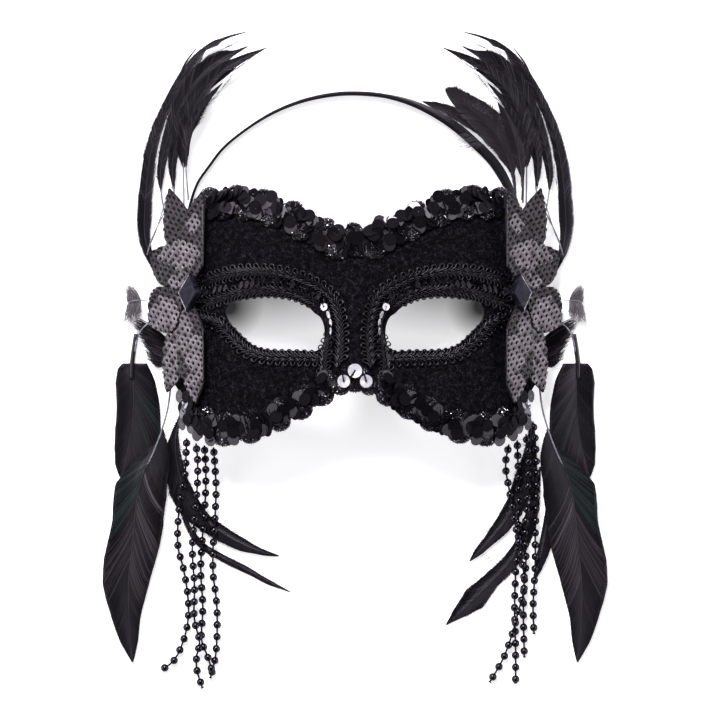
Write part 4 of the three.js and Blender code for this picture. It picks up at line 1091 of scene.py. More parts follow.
black_glass, glass_shader = new_material("black_glass", (0.008, 0.008, 0.013), 0.25, IOR=1.5)
glass_shader.inputs["Specular IOR Level"].default_value = 0.12
glass_shader.inputs["Specular Tint"].default_value = (0.9, 0.88, 1, 1)
glass_haze = grain(black_glass, 500, detail=2)
glass_cloud = grain(black_glass, 260, detail=3, distortion=0.8)
glass_tint = ramp(black_glass, glass_cloud.outputs["Fac"], [
    (0.36, (0.004, 0.004, 0.008)), (0.55, (0.01, 0.01, 0.016)), (0.7, (0.034, 0.036, 0.044))])
wire(black_glass, glass_tint.outputs["Color"], glass_shader, "Base Color")
wire(black_glass, levels(black_glass, glass_haze.outputs["Fac"], 0.3, 0.7, 0.18, 0.36), glass_shader, "Roughness")
bumped(black_glass, glass_shader, glass_haze.outputs["Fac"], 0.05, 0.0002)
glass_painted_highlight, glass_highlight_shader = new_material("painted_highlight_glass_edge", (0.3, 0.29, 0.32), 0.4)
glass_highlight_tint = ramp(glass_painted_highlight, grain(glass_painted_highlight, 330, detail=2).outputs["Fac"], [(0.35, (0.05, 0.05, 0.06)),
                                                                            (0.55, (0.5, 0.49, 0.53))])
wire(glass_painted_highlight, glass_highlight_tint.outputs["Color"], glass_highlight_shader, "Base Color")
for side, sign in (("left", 1), ("right", -1)):
    bpy.ops.mesh.primitive_circle_add(vertices=4, radius=1, fill_type="NGON")
    stone = bpy.context.object
    stone.name = f"jewel_{side}_stone"
    bpy.ops.object.mode_set(mode="EDIT")
    bpy.ops.transform.resize(value=(0.85 * jewel_half_width, 0.85 * jewel_half_height, 1))
    bpy.ops.transform.translate(value=(0, 0, -back_depth))
    bpy.ops.mesh.extrude_region_move(TRANSFORM_OT_translate={"value": (0, 0, back_depth + girdle_rise)})
    bpy.ops.transform.resize(value=(1 / 0.85, 1 / 0.85, 1))
    bpy.ops.mesh.extrude_region_move(TRANSFORM_OT_translate={"value": (0, 0, table_rise - girdle_rise)})
    bpy.ops.transform.resize(value=(0.87, 0.87, 1))
    bpy.ops.mesh.select_all(action="SELECT")
    bpy.ops.mesh.normals_make_consistent(inside=False)
    bpy.ops.mesh.bevel(offset=0.27, segments=1, affect="EDGES")
    bpy.ops.object.mode_set(mode="OBJECT")
    # Bevel faces that lean one way get the pale material, a painted highlight.
    for face in stone.data.polygons:
        face.material_index = int(face.normal.x > 0.2 and 0.3 < face.normal.z < 0.97)
    across, up, high = corners_of(stone).T
    out = across * math.cos(jewel_turn) - high * math.sin(jewel_turn) - jewel_slant * up - jewel_inset
    rise = jewel_base + high * math.cos(jewel_turn) + across * math.sin(jewel_turn)
    stone.data.vertices.foreach_set("co", placed(on_flower(out, up - jewel_drop, rise, sign)).ravel())
    if sign > 0:
        stone.data.flip_normals()
    bpy.ops.object.shade_smooth_by_angle(angle=math.radians(24))
    stone.data.materials.append(black_glass)
    stone.data.materials.append(glass_painted_highlight)
    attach(stone, "root")
    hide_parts(f"jewel_{side}")

# Headband. A thin sprung band wrapped in black satin ribbon. It stands on its edge on the table, its
# ends glued inside the shell, and turns flatter on the viewer's right.
band_width = 6.5
band_thickness = 2.2
band_route = [
    (-85, 46), (-83, 62), (-80, 76), (-76.5, 86), (-71, 94), (-64, 103), (-53, 112), (-42, 119), (-31, 124),
    (-20, 127.3), (-7, 129.3), (5, 129.3), (17, 127.8), (29, 124.3), (41, 118.5), (50, 112.5), (58, 105.5),
    (67, 96.5), (72.5, 88), (77, 78), (81.5, 63), (85, 46)]
band_turns = ((0, 0.55, 0.7, 0.82, 0.93, 1), (0, 0, 38, 42, 8, 0))
band_girths = ((0, 0.3, 0.45, 0.6, 1), (0.62, 0.58, 0.9, 1, 1))   # drawn tighter on the left

band_line = bpy.data.curves.new("headband_ribbon", "CURVE")
band_line.dimensions = "3D"
band_line.twist_mode = "Z_UP"
band_points = smooth_line(band_route, 200)
band_tilt = np.radians(np.interp(np.linspace(0, 1, 200), *band_turns))
rim = band_thickness / 2
band_girth = np.interp(np.linspace(0, 1, 200), *band_girths)
band_points[:, 2] = ((band_width / 2 - rim) * np.cos(band_tilt) + rim) * band_girth
spline = band_line.splines.new("POLY")
spline.points.add(len(band_points) - 1)
for point, place, tilt, girth in zip(spline.points, placed(band_points), band_tilt, band_girth):
    point.co = (*place, 1)
    point.tilt = tilt
    point.radius = girth
spline.use_smooth = True
band_line.extrude = (band_width / 2 - rim) / 1000
band_line.bevel_depth = rim / 1000
band_line.bevel_resolution = 3
band_line.use_fill_caps = True
band = bpy.data.objects.new("headband_ribbon", band_line)
bpy.context.collection.objects.link(band)
bpy.ops.object.select_all(action="DESELECT")
band.select_set(True)
bpy.context.view_layer.objects.active = band
bpy.ops.object.convert(target="MESH")
band = bpy.context.object
bpy.ops.object.mode_set(mode="EDIT")
bpy.ops.mesh.select_all(action="SELECT")
bpy.ops.mesh.remove_doubles(threshold=1e-6)
bpy.ops.mesh.normals_make_consistent(inside=False)
bpy.ops.object.mode_set(mode="OBJECT")
bpy.ops.object.shade_smooth_by_angle(angle=math.radians(50))
satin, satin_shader = new_material("black_satin", (0.004, 0.0038, 0.005), 0.45)
satin_shader.inputs["Specular IOR Level"].default_value = 0.14
satin_shader.inputs["Specular Tint"].default_value = (0.95, 0.86, 1, 1)
satin_threads = grain(satin, 1500, detail=2, stretch=(1, 1, 0.25))
satin_tint = ramp(satin, satin_threads.outputs["Fac"], [(0.3, (0.0022, 0.002, 0.0028)), (0.7, (0.0065, 0.006, 0.0078))])
wire(satin, satin_tint.outputs["Color"], satin_shader, "Base Color")
bumped(satin, satin_shader, satin_threads.outputs["Fac"], 0.3, 0.0001)
band.data.materials.append(satin)
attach(band, "root")
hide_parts("headband")

# Feathers. Dyed black cock feathers: a tapering quill with flat barbs on both sides, which hook into
# each other but part here and there. Their roots are glued behind the flowers and the shell's edge.
barb_rings = 4
barb_pitch = 0.42
barb_breadth = 0.62
barb_thickness = 0.16
bare = 0.45                  # a vane this narrow is bare quill


def lay_on_shaft(line, ahead, aside, lift):
    """Places beside a shaft: ahead along it, to its left and above it. Past its tip it runs straight on."""
    reach = np.r_[0, np.cumsum(np.linalg.norm(np.diff(line, axis=0), axis=1))]
    slopes = np.gradient(line, axis=0)
    slopes /= np.linalg.norm(slopes, axis=1, keepdims=True)
    held = np.clip(ahead, 0, reach[-1])
    spot = np.stack([np.interp(held, reach, line[:, i]) for i in range(3)], axis=-1)
    slope = np.stack([np.interp(held, reach, slopes[:, i]) for i in range(3)], axis=-1)
    side = np.stack([-slope[..., 1], slope[..., 0], 0 * held], axis=-1)
    side /= np.linalg.norm(side, axis=-1, keepdims=True)
    over = np.cross(slope, side)
    return (spot + slope * (ahead - held)[..., None] + side * np.asarray(aside)[..., None]
            + over * np.asarray(lift)[..., None])


feather_black, feather_shader = new_material("black_feather", (0.008, 0.008, 0.009), 0.42, Sheen_Weight=0.1,
                                             Sheen_Roughness=0.3)
feather_tone = add_node(feather_black, "ShaderNodeAttribute", attribute_name="tone")
# Below about 0.62 the barbs' own tones differ at random; the upper stops, pale grey and green, serve the painted sheen
# bands and the paler loose down.
feather_tint_and_painted_sheen = ramp(feather_black, feather_tone.outputs["Fac"], [
    (0.0, (0.001, 0.0009, 0.0014)), (0.3, (0.0028, 0.0024, 0.0036)), (0.42, (0.0026, 0.0052, 0.005)),
    (0.52, (0.009, 0.0062, 0.0078)), (0.64, (0.0165, 0.014, 0.017)), (0.8, (0.042, 0.036, 0.042)),
    (0.9, (0.16, 0.15, 0.17)), (0.97, (0.008, 0.018, 0.014))])
feather_shader.inputs["Specular IOR Level"].default_value = 0.3
feather_shader.inputs["Specular Tint"].default_value = (0.95, 0.86, 1, 1)
wire(feather_black, feather_tint_and_painted_sheen.outputs["Color"], feather_shader, "Base Color")
barb_streaks = grain(feather_black, 2200, detail=2, stretch=(1, 1, 0.3))
wire(feather_black, levels(feather_black, barb_streaks.outputs["Fac"], 0.3, 0.7, 0.3, 0.55), feather_shader,
     "Roughness")
bumped(feather_black, feather_shader, barb_streaks.outputs["Fac"], 0.3, 0.0001)
quill_horn, quill_shader = new_material("quill_horn", (0.01, 0.0095, 0.011), 0.35)
quill_streaks = grain(quill_horn, 1200, detail=2)
quill_tint = ramp(quill_horn, quill_streaks.outputs["Fac"], [(0.35, (0.004, 0.0038, 0.0046)), (0.6, (0.016, 0.015, 0.018))])
wire(quill_horn, quill_tint.outputs["Color"], quill_shader, "Base Color")
# Pale grey horn for the pale roots of quills and for bare quills: the shine along them is painted into the colour, a
# painted highlight.
quill_painted_highlight, quill_highlight_shader = new_material("quill_horn_painted_highlight", (0.2, 0.19, 0.22), 0.28)
pale_streaks = grain(quill_painted_highlight, 1200, detail=2)
quill_highlight_tint = ramp(quill_painted_highlight, pale_streaks.outputs["Fac"], [(0.35, (0.1, 0.095, 0.115)), (0.65, (0.34, 0.33, 0.37))])
wire(quill_painted_highlight, quill_highlight_tint.outputs["Color"], quill_highlight_shader, "Base Color")

bpy.ops.mesh.primitive_circle_add(vertices=3, radius=0.5, fill_type="NGON")
barb = bpy.context.object
bpy.ops.object.mode_set(mode="EDIT")
for _ in range(barb_rings):
    bpy.ops.mesh.extrude_region_move(TRANSFORM_OT_translate={"value": (0, 0, 1 / barb_rings)})
bpy.ops.mesh.merge(type="CENTER")
bpy.ops.mesh.select_all(action="SELECT")
bpy.ops.mesh.normals_make_consistent(inside=False)
bpy.ops.object.mode_set(mode="OBJECT")
barb.data.materials.append(feather_black)
barb_shape = corners_of(barb)


def barbs_of(line, vane, chance, slant, fray, camber, tint, painted_sheen):
    """The corners and tones of all the barbs on both sides of a shaft. Slant is their angle to it."""
    length = line_length(line)
    fractions = [row[0] for row in vane]
    u = barb_shape[None, :, 2]
    corners, tones = [], []
    for side, column in ((1, 1), (-1, 2)):
        edge = side * barb_shape[None, :, 0]
        breadths = [row[column] for row in vane]
        first = max(i for i in range(len(vane)) if max(breadths[:i + 1]) < bare + 0.4)
        roots = np.arange(fractions[first] * length, 0.99 * length, barb_pitch)
        number = len(roots)
        roots = roots + chance.uniform(-0.3, 0.3, number) * barb_pitch
        clump = np.cumsum(chance.random(number) < barb_pitch / chance.uniform(2.5, 6))
        groups = clump[-1] + 1
        swing = chance.normal(0, fray, groups)[clump] + chance.normal(0, fray * 0.25, number)
        shorter = 1 - np.abs(chance.normal(0, fray * 0.5, groups))[clump] - np.abs(chance.normal(0, fray * 0.2, number))
        forward = 1 / np.tan(np.radians(np.interp(roots / length, *slant)))
        width = np.interp(roots / length, fractions, breadths)
        for _ in range(12):
            tip = (roots + forward * 0.9 * width) / length
            width = 0.5 * width + 0.5 * np.interp(tip, fractions, breadths, right=0)
        width = np.maximum(width * shorter, 0.25)[:, None]
        forward, swing = forward[:, None], swing[:, None]
        along = width * (forward * u * (1.15 - 0.25 * u) + 0.6 * swing * u ** 2)
        heading = np.arctan2(1, forward * (1.15 - 0.5 * u) + 1.2 * swing * u)
        across = edge * barb_breadth * (1 - np.clip(4 * fray, 0.12, 0.72) * u ** 2) * np.clip(0.6 + width / 6, 0, 1)
        ahead = roots[:, None] + along - np.sin(heading) * across
        aside = width * u + np.cos(heading) * across
        lift = camber * np.sin(np.clip(aside / max(breadths), 0, 1) * math.pi * 0.55)
        lift = lift + barb_shape[None, :, 1] * barb_thickness - 0.22 * u * edge
        lift = lift + chance.normal(0, 0.12, groups)[clump][:, None] * u
        corners.append(lay_on_shaft(line, ahead, side * aside, lift).reshape(-1, 3))
        tone = 0.33 * chance.random(groups)[clump] + 0.33 * chance.random(number) - 0.04
        tone = tone * (1 - 1.3 * tint) + tint
        # Bands of barbs set lighter grey or green: painted sheen
        for where, start, end, share, sheen_tone in painted_sheen:
            caught = (roots > start * length) & (roots < end * length) & (chance.random(number) < share)
            tone = np.where(caught & (where == side), sheen_tone, tone)
        tones.append(np.clip(tone, 0, 1))
    return np.vstack(corners), np.concatenate(tones)


def web_of(line, vane, chance, share, camber):
    """The thin sheet that the barbs make where they hook together, a little inside their tips."""
    fractions = np.array([row[0] for row in vane])
    most = np.array([max(row[1:]) for row in vane])
    start = fractions[np.argmax(most > bare + 0.6)]
    rows = np.linspace(start, 0.985, 90)
    across = np.linspace(-1, 1, 9)
    wavy = 1 + np.convolve(chance.normal(0, 0.05 * (1.02 - share) / 0.1, 98), np.ones(9) / 9, "valid")
    right, left = (share * wavy * np.interp(rows, fractions, [row[k] for row in vane]) for k in (2, 1))
    aside = np.where(across < 0, right[:, None] * across, left[:, None] * across)
    lift = camber * np.sin(np.abs(aside) / most.max() * math.pi * 0.55) - 0.3
    spots = lay_on_shaft(line, np.repeat(rows[:, None], 9, 1) * line_length(line), aside, lift)
    bpy.ops.mesh.primitive_grid_add(x_subdivisions=89, y_subdivisions=8, size=1)
    web = bpy.context.object
    flat = corners_of(web)
    row, column = np.round((flat[:, 0] + 0.5) * 89).astype(int), np.round((flat[:, 1] + 0.5) * 8).astype(int)
    web.data.vertices.foreach_set("co", placed(spots[row, column]).ravel())
    sheet = web.modifiers.new("sheet", "SOLIDIFY")
    sheet.thickness = 0.00012
    bpy.ops.object.modifier_apply(modifier="sheet")
    bpy.ops.object.shade_smooth()
    web.data.materials.append(feather_black)
    return web


def feather(name, shaft, vane, slant=((0, 1), (42, 34)), fray=0.1, camber=0.5, quill=0.55, pale=0.0, twin=True,
            spread=1.15, web=0.8, tint=0.0, painted_sheen=(), seed=1):
    """One feather, or one on each side of the mask, that stands for the node of its name."""
    vane = [(f, a * spread, b * spread) if max(a, b) > bare + 0.4 else (f, a, b) for f, a, b in vane]
    for side, sign in (("left", 1), ("right", -1)) if twin else (("", 1),):
        chance = np.random.default_rng(seed)
        line = smooth_line([(sign * x, y, z) for x, y, z in shaft], 220)
        rows = [(f, a, b) if sign > 0 else (f, b, a) for f, a, b in vane]
        sheen_bands = [(where * sign, *rest) for where, *rest in painted_sheen]
        corners, tones = barbs_of(line, rows, chance, slant, fray, camber, tint, sheen_bands)
        node = f"{name}_{side}" if twin else name
        vane_piece = copies(barb, placed(corners), f"{node}_plume", tones, ride=False)
        girth = np.interp(np.linspace(0, 1, 60), (0, 0.5, 1), (1, 0.72, 0.16))
        stem = np.c_[placed(line[np.linspace(0, 219, 60).astype(int)]), girth]
        whole = [web_of(line, rows, chance, web, camber)]
        split = int(60 * pale)
        for part, horn in ((stem[:split + 1], quill_painted_highlight), (stem[split:], quill_horn)):
            if len(part) > 1:
                whole.append(rope(f"{node}_quill", [part], 2 * quill / 1000))
                whole[-1].data.materials.append(horn)
        bpy.ops.object.select_all(action="DESELECT")
        for piece in (*whole, vane_piece):
            piece.select_set(True)
        bpy.context.view_layer.objects.active = vane_piece
        bpy.ops.object.join()
        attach(vane_piece, "root")
        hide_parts(node)


# The fan above each flower, outermost first. A vane is [fraction of the shaft, breadth to the left,
# breadth to the right], as seen by someone who walks from root to tip.
upper_fan = [
    ([(-97, 42, 2.5), (-102, 60, 2.5), (-102, 75, 3), (-101, 88, 3), (-99, 101, 3.5), (-95.5, 113, 4),
      (-90, 126, 4.5), (-84, 138, 5), (-76, 149, 5), (-64, 156, 5.5), (-52, 159.5, 6)],
     [(0, 0.6, 0.6), (0.08, 2.8, 1.6), (0.2, 3.8, 3.4), (0.42, 3.4, 2.8), (0.58, 2.8, 2), (0.68, 2, 2.6),
      (0.75, 1.4, 3.6), (0.81, 0.9, 3.2), (0.84, 0.9, 1.2), (0.885, 1.1, 1.9), (0.905, 0.6, 0.9), (0.96, 0.45, 0.5),
      (1, 0.15, 0.15)]),
    ([(-91.5, 67, 5), (-94, 80, 5), (-94.5, 90, 5.3), (-92.5, 102, 5.6), (-89, 114, 6), (-84.5, 124, 6.5),
      (-77, 136, 7), (-67, 145, 7.5), (-51.5, 152.5, 8)],
     [(0, 0.45, 0.45), (0.15, 0.45, 0.45), (0.22, 1.6, 1.6), (0.45, 2.4, 2.6), (0.6, 3.6, 3.4), (0.74, 4.6, 4),
      (0.86, 3.4, 2.4), (0.93, 0.8, 1.2), (1, 0.15, 0.15)]),
    ([(-87, 72, 7), (-88, 83, 7), (-88.5, 97, 7.4), (-86, 107, 7.8), (-81.5, 119, 8.2), (-73, 131, 8.8),
      (-57.5, 142, 9.5)],
     [(0, 0.45, 0.45), (0.12, 0.6, 0.6), (0.25, 1.6, 1.6), (0.5, 3, 2.8), (0.75, 3.4, 1.9), (0.9, 1.6, 1),
      (1, 0.2, 0.2)]),
    ([(-83, 75, 9), (-83.2, 93, 9), (-83, 103, 9.5), (-80.5, 115, 10), (-75, 128, 10.5), (-63, 141, 11.5),
      (-42.5, 151.5, 12.5)],
     [(0, 0.45, 0.45), (0.19, 0.6, 0.6), (0.3, 3, 1.6), (0.5, 4.2, 3), (0.66, 4, 1.8), (0.76, 3, 1.1),
      (0.82, 1.8, 1.7), (0.9, 1.2, 0.9), (1, 0.15, 0.15)]),
    ([(-80.8, 77.5, 11), (-82, 98, 11), (-80, 109, 11.4), (-76, 118, 12), (-71, 126, 12.8), (-64, 134.5, 13.8)],
     [(0, 0.45, 0.45), (0.25, 0.6, 0.6), (0.36, 2, 1.2), (0.55, 3, 0.8), (0.75, 2.6, 0.6), (0.9, 1.2, 0.5),
      (1, 0.2, 0.2)]),
]
for i, (shaft, vane) in enumerate(upper_fan):
    feather(f"upper_feather_{i + 1}", shaft, vane, slant=((0, 1), (34, 22)),
            fray=(0.1, 0.26, 0.3, 0.3, 0.42)[i], quill=0.42, pale=(0, 0.16, 0.16, 0.22, 0.28)[i],
            spread=(1.2, 1.55, 1.6, 1.6, 1.55)[i], web=0.72,
            painted_sheen=[(1, 0.25, 0.95, 0.13, 0.79), (-1, 0.25, 0.95, 0.13, 0.77)], seed=11 + i)

# The two big feathers that hang from each side. The upper one's vane is cut square across its top.
feather("long_feather_1",
        [(-98, 20, 2.4), (-104, 14.5, 2.2), (-107.3, 6, 2), (-107.8, -3, 2), (-107.5, -15, 2), (-108.3, -31, 2),
         (-111, -45, 2), (-114.3, -57, 2)],
        [(0, 0.7, 0.7), (0.305, 0.8, 0.8), (0.308, 6.4, 5), (0.34, 7.6, 7.2), (0.42, 10, 8.6), (0.55, 12.2, 8),
         (0.72, 14, 7.6), (0.84, 13, 6), (0.93, 8, 4), (1, 0.3, 0.3)],
        slant=((0.28, 0.34, 0.5, 1), (84, 48, 27, 20)), fray=0.02, camber=0.8, quill=0.42, pale=0.2, spread=1.04,
        web=1.0, painted_sheen=[(1, 0.4, 0.6, 0.3, 0.97), (1, 0.3, 0.95, 0.2, 0.62)], seed=21)
feather("long_feather_2",
        [(-89.5, -13, 7), (-91, -24, 6), (-94.5, -36, 5), (-98.5, -46, 4.2), (-103, -56, 3.6), (-106.3, -70, 3),
         (-108, -88, 2.6), (-110, -106, 2.4), (-110, -124, 2.2), (-108, -147.5, 2)],
        [(0, 0.45, 0.45), (0.15, 0.5, 0.5), (0.18, 3.4, 1), (0.23, 8, 2), (0.29, 11, 5.5), (0.38, 13.5, 11.5),
         (0.5, 14, 10.5), (0.64, 11.5, 12.5),
         (0.72, 9.5, 12), (0.84, 5.5, 8), (0.92, 3.6, 5), (1, 0.2, 0.2)],
        slant=((0.2, 0.32, 0.5, 1), (44, 34, 23, 18)), fray=0.05, camber=1, quill=0.48, pale=0.29, spread=1.08,
        web=0.96, painted_sheen=[(-1, 0.25, 0.42, 0.5, 0.97), (1, 0.3, 0.5, 0.14, 0.82), (1, 0.42, 0.7, 0.45, 0.73),
                         (-1, 0.45, 0.62, 0.5, 0.7)], seed=22)

# Narrower feathers that sweep in under the beads, two on the left and three on the right
inner_feathers = {
    "inner_feather_1_left": (
        [(-84.5, -26, 7), (-87, -37, 4.5), (-86.5, -50, 2.8), (-83, -63, 2.3), (-76.5, -74.5, 2.2),
         (-67, -82.5, 2.2), (-56, -89, 2.2), (-46, -93, 2.2), (-36, -95.5, 2.2)],
        [(0, 0.6, 0.6), (0.12, 1.5, 3), (0.25, 3, 7), (0.4, 4.4, 8), (0.52, 4.4, 6.8), (0.65, 3.8, 4.8), (0.8, 3, 3.4),
         (0.92, 1.4, 1.6), (1, 0.2, 0.2)]),
    "inner_feather_2_left": (
        [(-87, -62, 0.8), (-82, -79, 0.8), (-75, -89.5, 0.8), (-65, -96, 0.8), (-53, -102, 0.8), (-42, -108, 0.8),
         (-31, -113, 0.8)],
        [(0, 0.6, 0.6), (0.3, 1.6, 1.8), (0.6, 2, 2), (0.85, 1.4, 1.4), (1, 0.2, 0.2)]),
    "inner_feather_1_right": (
        [(84.5, -26, 7), (85.5, -38, 4.5), (84, -52, 2.8), (80, -66, 2.3), (73, -78.5, 2.2), (65, -88, 2.2),
         (55.5, -98, 2.2)],
        [(0, 0.6, 0.6), (0.15, 2, 2), (0.4, 6, 6), (0.6, 5, 5), (0.8, 3.6, 3.8), (0.94, 1.6, 2), (1, 0.3, 0.3)]),
    "inner_feather_2_right": (
        [(90, -52, 0.8), (86.5, -72, 0.8), (81.5, -88, 0.8), (75, -98.5, 0.8), (66, -108, 0.8), (56, -118, 0.8),
         (44, -129, 0.8)],
        [(0, 0.6, 0.6), (0.2, 3, 3), (0.5, 4.5, 4), (0.66, 4, 5), (0.8, 6.5, 6.5), (0.92, 2.6, 3), (1, 0.2, 0.2)]),
    "inner_feather_3_right": (
        [(94, -42, 3.4), (95, -55, 2.8), (94.5, -70, 2.4), (92.5, -85, 2.2), (89.5, -98, 2.2), (86.5, -108.5, 2.2)],
        [(0, 0.5, 0.5), (0.25, 1.5, 1.5), (0.5, 3.5, 2), (0.75, 4.2, 2.4), (0.9, 2.4, 1.6), (1, 0.3, 0.3)]),
}
for i, (name, (shaft, vane)) in enumerate(inner_feathers.items()):
    feather(name, shaft, vane, slant=((0, 1), (40, 24)), fray=0.2, camber=0.3, quill=0.45, twin=False, seed=31 + i)

# Three feathers by the headband, on the viewer's right only
band_feathers = [
    ([(78, 77.5, 13), (76.5, 90, 11.5), (73, 101, 11), (66, 111.5, 11), (56.5, 121, 11.5), (43.5, 132, 12)],
     [(0, 0.6, 0.6), (0.2, 1.2, 1.2), (0.32, 4.5, 6), (0.5, 7, 9), (0.7, 6.4, 8.6), (0.84, 5, 6.4), (0.95, 2.6, 3.6),
      (1, 0.8, 0.8)]),
    ([(81.3, 76, 15), (81, 88, 14), (79.5, 99, 13.5), (77, 109, 13.5), (73.5, 118, 14), (69, 125, 15)],
     [(0, 0.5, 0.5), (0.25, 1, 1), (0.45, 4.6, 3), (0.7, 4.6, 2.4), (0.88, 2.4, 1.2), (1, 0.3, 0.3)]),
    ([(72, 98, 8.5), (64, 108, 8.5), (55, 115.5, 8.5), (45, 121.5, 8.7), (32.5, 125.5, 9)],
     [(0, 0.5, 0.5), (0.3, 2, 2), (0.6, 3.6, 3), (0.85, 2.4, 2), (1, 0.3, 0.3)]),
]
for i, (shaft, vane) in enumerate(band_feathers):
    feather(f"band_feather_{i + 1}", shaft, vane, slant=((0, 1), (44, 26)), fray=0.22, quill=0.45, twin=False,
            web=0.75, tint=0.42, seed=41 + i)

# Tufts. A little bunch of grey-mauve down tied in its middle hangs by a thread beside each flower.
# Under it, dark fluff stands out round the root of the big feather.
def locks(name, paths, breadth, material, tones):
    """Fine tapering strands, each along its own path of five places in millimetres."""
    paths = np.asarray(paths, float)
    ring = np.round(barb_shape[:, 2] * barb_rings).astype(int)
    slopes = np.gradient(paths, axis=1)
    slopes /= np.linalg.norm(slopes, axis=2, keepdims=True)
    side = np.cross(slopes, (0, 0.02, 1.0))
    side /= np.linalg.norm(side, axis=2, keepdims=True)
    over = np.cross(side, slopes)
    girth = breadth * (1 - 0.7 * barb_shape[:, 2])[None, :, None]
    corners = paths[:, ring] + girth * (side[:, ring] * barb_shape[None, :, :1] + over[:, ring] * barb_shape[None, :, 1:2])
    barb.data.materials.clear()
    barb.data.materials.append(material)
    return copies(barb, placed(corners), name, tones)


down_grey, down_shader = new_material("grey_down", (0.3, 0.27, 0.29), 0.7, Sheen_Weight=0.4)
down_tone = add_node(down_grey, "ShaderNodeAttribute", attribute_name="tone")
down_tint = ramp(down_grey, down_tone.outputs["Fac"], [(0.0, (0.03, 0.026, 0.029)), (0.5, (0.14, 0.12, 0.132)),
                                                       (1.0, (0.4, 0.365, 0.39))])
wire(down_grey, down_tint.outputs["Color"], down_shader, "Base Color")
bumped(down_grey, down_shader, grain(down_grey, 2500, detail=2).outputs["Fac"], 0.3, 0.0001)

# Pale grey for the tuft's thread and for the pale stem at the big feather's root; on the stem the paleness is a painted
# highlight.
stem_grey, stem_shader = new_material("pale_stem", (0.22, 0.22, 0.27), 0.4)
stem_tint = ramp(stem_grey, grain(stem_grey, 600, detail=2).outputs["Fac"], [(0.35, (0.1, 0.1, 0.13)), (0.65, (0.4, 0.4, 0.46))])
wire(stem_grey, stem_tint.outputs["Color"], stem_shader, "Base Color")

tie = np.array((-104.6, 28.6, 6.5))
for side, sign in (("left", 1), ("right", -1)):
    chance = np.random.default_rng(71)
    u = np.linspace(0, 1, barb_rings + 1)[:, None]
    paths = []
    for _ in range(700):
        spread, length, rise = chance.random(), chance.uniform(0.3, 1.08), chance.uniform(-1, 1)
        root = tie + (0.5 - 6 * spread, 0.5 - 1.4 * spread, 1.5 * rise)
        if chance.random() < 0.45:
            end = np.array((-4.4 + 3.6 * spread, 8.6, 0.4 * rise)) * length
        else:
            end = np.array((-0.4 - 1.4 * spread + chance.normal(0, 0.7), -10.4 + chance.normal(0, 0.8), 0.6 * rise)) * length
        crumple = chance.normal(0, 0.55, (barb_rings + 1, 3)) * np.sqrt(u)
        paths.append(root + end * u + (0, 0, 0.8 * rise) * np.sin(math.pi * u) + crumple)
    paths = np.array(paths) * (sign, 1, 1)
    bunch = locks(f"downy_tuft_{side}_down", paths, 0.26, down_grey, 0.1 + 0.9 * chance.random(len(paths)) ** 1.3)
    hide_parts(f"downy_tuft_{side}")
    string_route = [tie + (-5.8, 1.4, 0), tie + (-6, -0.6, 1), tie + (-3, 0.1, 2.9), tie + (0.6, 0.3, 1.8),
                    tie + (4, 0, 1), tie + (8.4, -0.5, 1.6)]
    string = rope(f"tuft_thread_{side}", [placed(smooth_line([p * (sign, 1, 1) for p in string_route], 24))], 0.00045)
    string.data.materials.append(stem_grey)
    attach(string, "root")

    fluff = []
    for _ in range(520):
        share, length = chance.random(), chance.uniform(0.75, 1.2)
        root = np.array((-91.2 - 0.6 * share, 10.5 - 12.5 * share, 2.4 + chance.uniform(-0.6, 0.8)))
        end = np.array((-108 + 10 * share, 20 - 20 * share, 1.6)) - root
        bulge = np.array((-1.2, 2.4 - 5 * share, chance.uniform(0, 0.9)))
        fluff.append(root + length * end * u + bulge * np.sin(math.pi * u) + chance.normal(0, 0.9, 3) * u)
    tones = np.where(chance.random(520) < 0.04, 0.88, 0.56 + 0.28 * chance.random(520))
    dark = locks(f"dark_fluff_{side}", np.array(fluff) * (sign, 1, 1), 0.5, feather_black, tones)
    sleeve_route = [(-106.3, 12.5, 3.2), (-107.4, 5.5, 3), (-108.4, -3, 2.6), (-108.4, -9, 2.4)]
    sleeve = rope(f"long_feather_root_{side}",
                  [placed(smooth_line([(sign * x, y, z) for x, y, z in sleeve_route], 16))], 0.0024)
    sleeve.data.materials.append(quill_horn)
    # A thin pale stem whose colour is a painted highlight along the quill.
    stem_route = [(-106.8, 4, 4.8), (-106.4, 8, 4.8), (-105, 12.4, 5), (-102.6, 16, 5.4), (-98.5, 18.8, 6)]
    stem = rope(f"pale_stem_{side}", [placed(smooth_line([(sign * x, y, z) for x, y, z in stem_route], 20))], 0.0007)
    stem.data.materials.append(stem_grey)
    for piece in (sleeve, stem):
        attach(piece, "root")


# Loose barbs. Down and single barbs that stand out of the feathers' edges, and a few bare quills.
def wisps(chance, start, end, heading, length, number, wild=10, bend=0.2):
    """Paths of strands that rise from points between start and end towards a heading in degrees."""
    paths = []
    for _ in range(number):
        root = start + chance.random() * (np.array(end, float) - start)
        turn = math.radians(heading + chance.normal(0, wild))
        way = np.array((math.cos(turn), math.sin(turn), chance.uniform(-0.05, 0.1)))
        side = np.array((-way[1], way[0], 0)) * chance.normal(0, bend)
        reach = length * chance.uniform(0.45, 1)
        steps = np.linspace(0, 1, barb_rings + 1)[:, None]
        paths.append(root + reach * (way * steps + side * steps ** 2))
    return paths


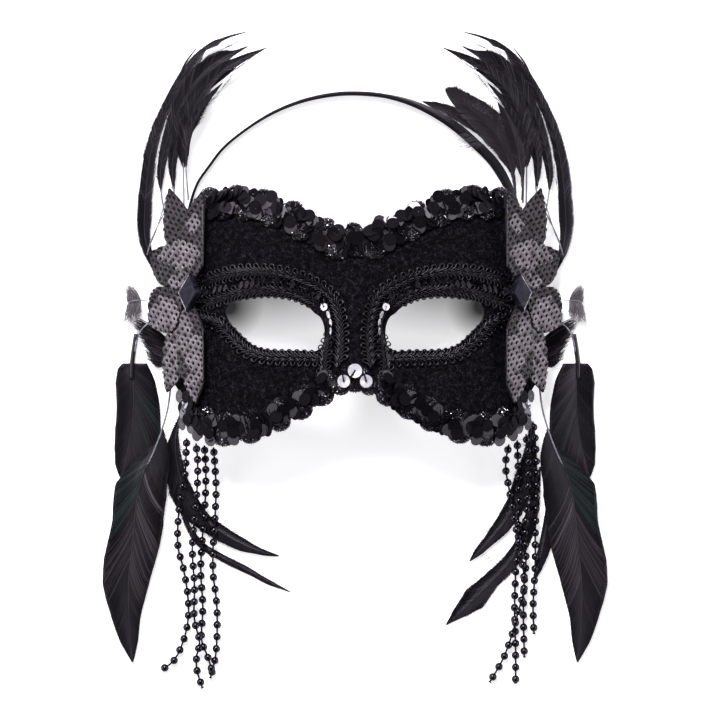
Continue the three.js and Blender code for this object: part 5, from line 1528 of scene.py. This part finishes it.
wisp_rows = [    # from, to, heading, length, number, wildness, tones from and to, on both sides
    ((-79, 110, 11), (-70, 128, 11), 52, 9, 110, 11, 0.5, 0.9, True),
    ((-70, 125, 9), (-60, 138, 9), 38, 6, 26, 8, 0.5, 0.88, True),
    ((-62, 138, 9), (-50, 147, 9), 28, 6, 18, 6, 0.3, 0.86, True),
    ((-74, 146, 5), (-58, 154, 6), 25, 6, 20, 7, 0.1, 0.5, True),
    ((-101, 88, 3), (-92, 118, 4), 74, 9, 26, 7, 0.1, 0.6, True),
    ((-100, 70, 3), (-96, 100, 4), 84, 7, 24, 9, 0.3, 0.88, True),
    ((-86.6, -38, 5), (-85, -52, 5), -20, 6, 30, 26, 0.6, 0.88, False),
    ((-66, -80, 2), (-58, -84, 2), 5, 8, 8, 8, 0.2, 0.6, False),
    ((-64, -95, 2), (-56, -99, 2), -25, 9, 8, 10, 0.2, 0.6, False),
    ((84, -38, 5), (88, -56, 5), 190, 7, 46, 28, 0.66, 0.9, False),
    ((62, -92, 2), (68, -98, 2), 215, 7, 14, 14, 0.3, 0.7, False),
    ((46, 130, 11.8), (66, 117, 11.8), 56, 7, 210, 26, 0.7, 0.9, False),
    ((70, 117, 13), (78, 98, 13), 60, 6.5, 190, 28, 0.7, 0.9, False),
    ((42, 126, 11.8), (47, 131, 11.8), 150, 3, 8, 20, 0.7, 0.88, False),
    ((64, 104, 9), (54, 110, 9), 196, 20, 26, 8, 0.7, 0.88, False),
    ((50, 117, 9), (38, 123, 9), 175, 6, 30, 14, 0.4, 0.8, False)]
for side, sign in (("left", 1), ("right", -1)):
    chance = np.random.default_rng(91)
    paths, tones = [], []
    for start, end, heading, length, number, wild, low, high, twin in wisp_rows:
        if twin or (start[0] < 0) == (sign > 0):
            mirror = (sign, 1, 1) if twin else (1, 1, 1)
            paths += list(np.array(wisps(chance, start, end, heading, length, number, wild)) * mirror)
            tones += list(chance.uniform(low, high, number))
    loose = locks(f"loose_barbs_{side}", paths, 0.19, feather_black, tones)
    lone_barb = [(-86.5, 135, 5), (-82.5, 144, 5), (-77, 151.5, 5.2)]
    bent_quill = [(-92.5, 71.5, 9), (-98.5, 59, 8), (-101, 51, 6)]
    bent_twin = [(-92, 77, 8), (-96.5, 63, 8), (-99, 57, 6)]
    strays = rope(f"stray_quills_{side}",
                  [np.c_[placed(smooth_line([(sign * x, y, z) for x, y, z in route], 14)), np.linspace(1, thin, 14)]
                   for route, thin in ((bent_quill, 1), (bent_twin, 0.8))], 0.0006)
    strays.data.materials.append(quill_painted_highlight)
    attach(strays, "root")
    lone = rope(f"lone_barb_{side}", [np.c_[placed(smooth_line([(sign * x, y, z) for x, y, z in lone_barb], 14)),
                                            np.linspace(0.5, 0.3, 14) + 0.7 * np.sin(np.linspace(0, 3, 14))]], 0.0009)
    lone.data.materials.append(quill_horn)
    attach(lone, "root")
scrap(barb)
low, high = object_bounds()
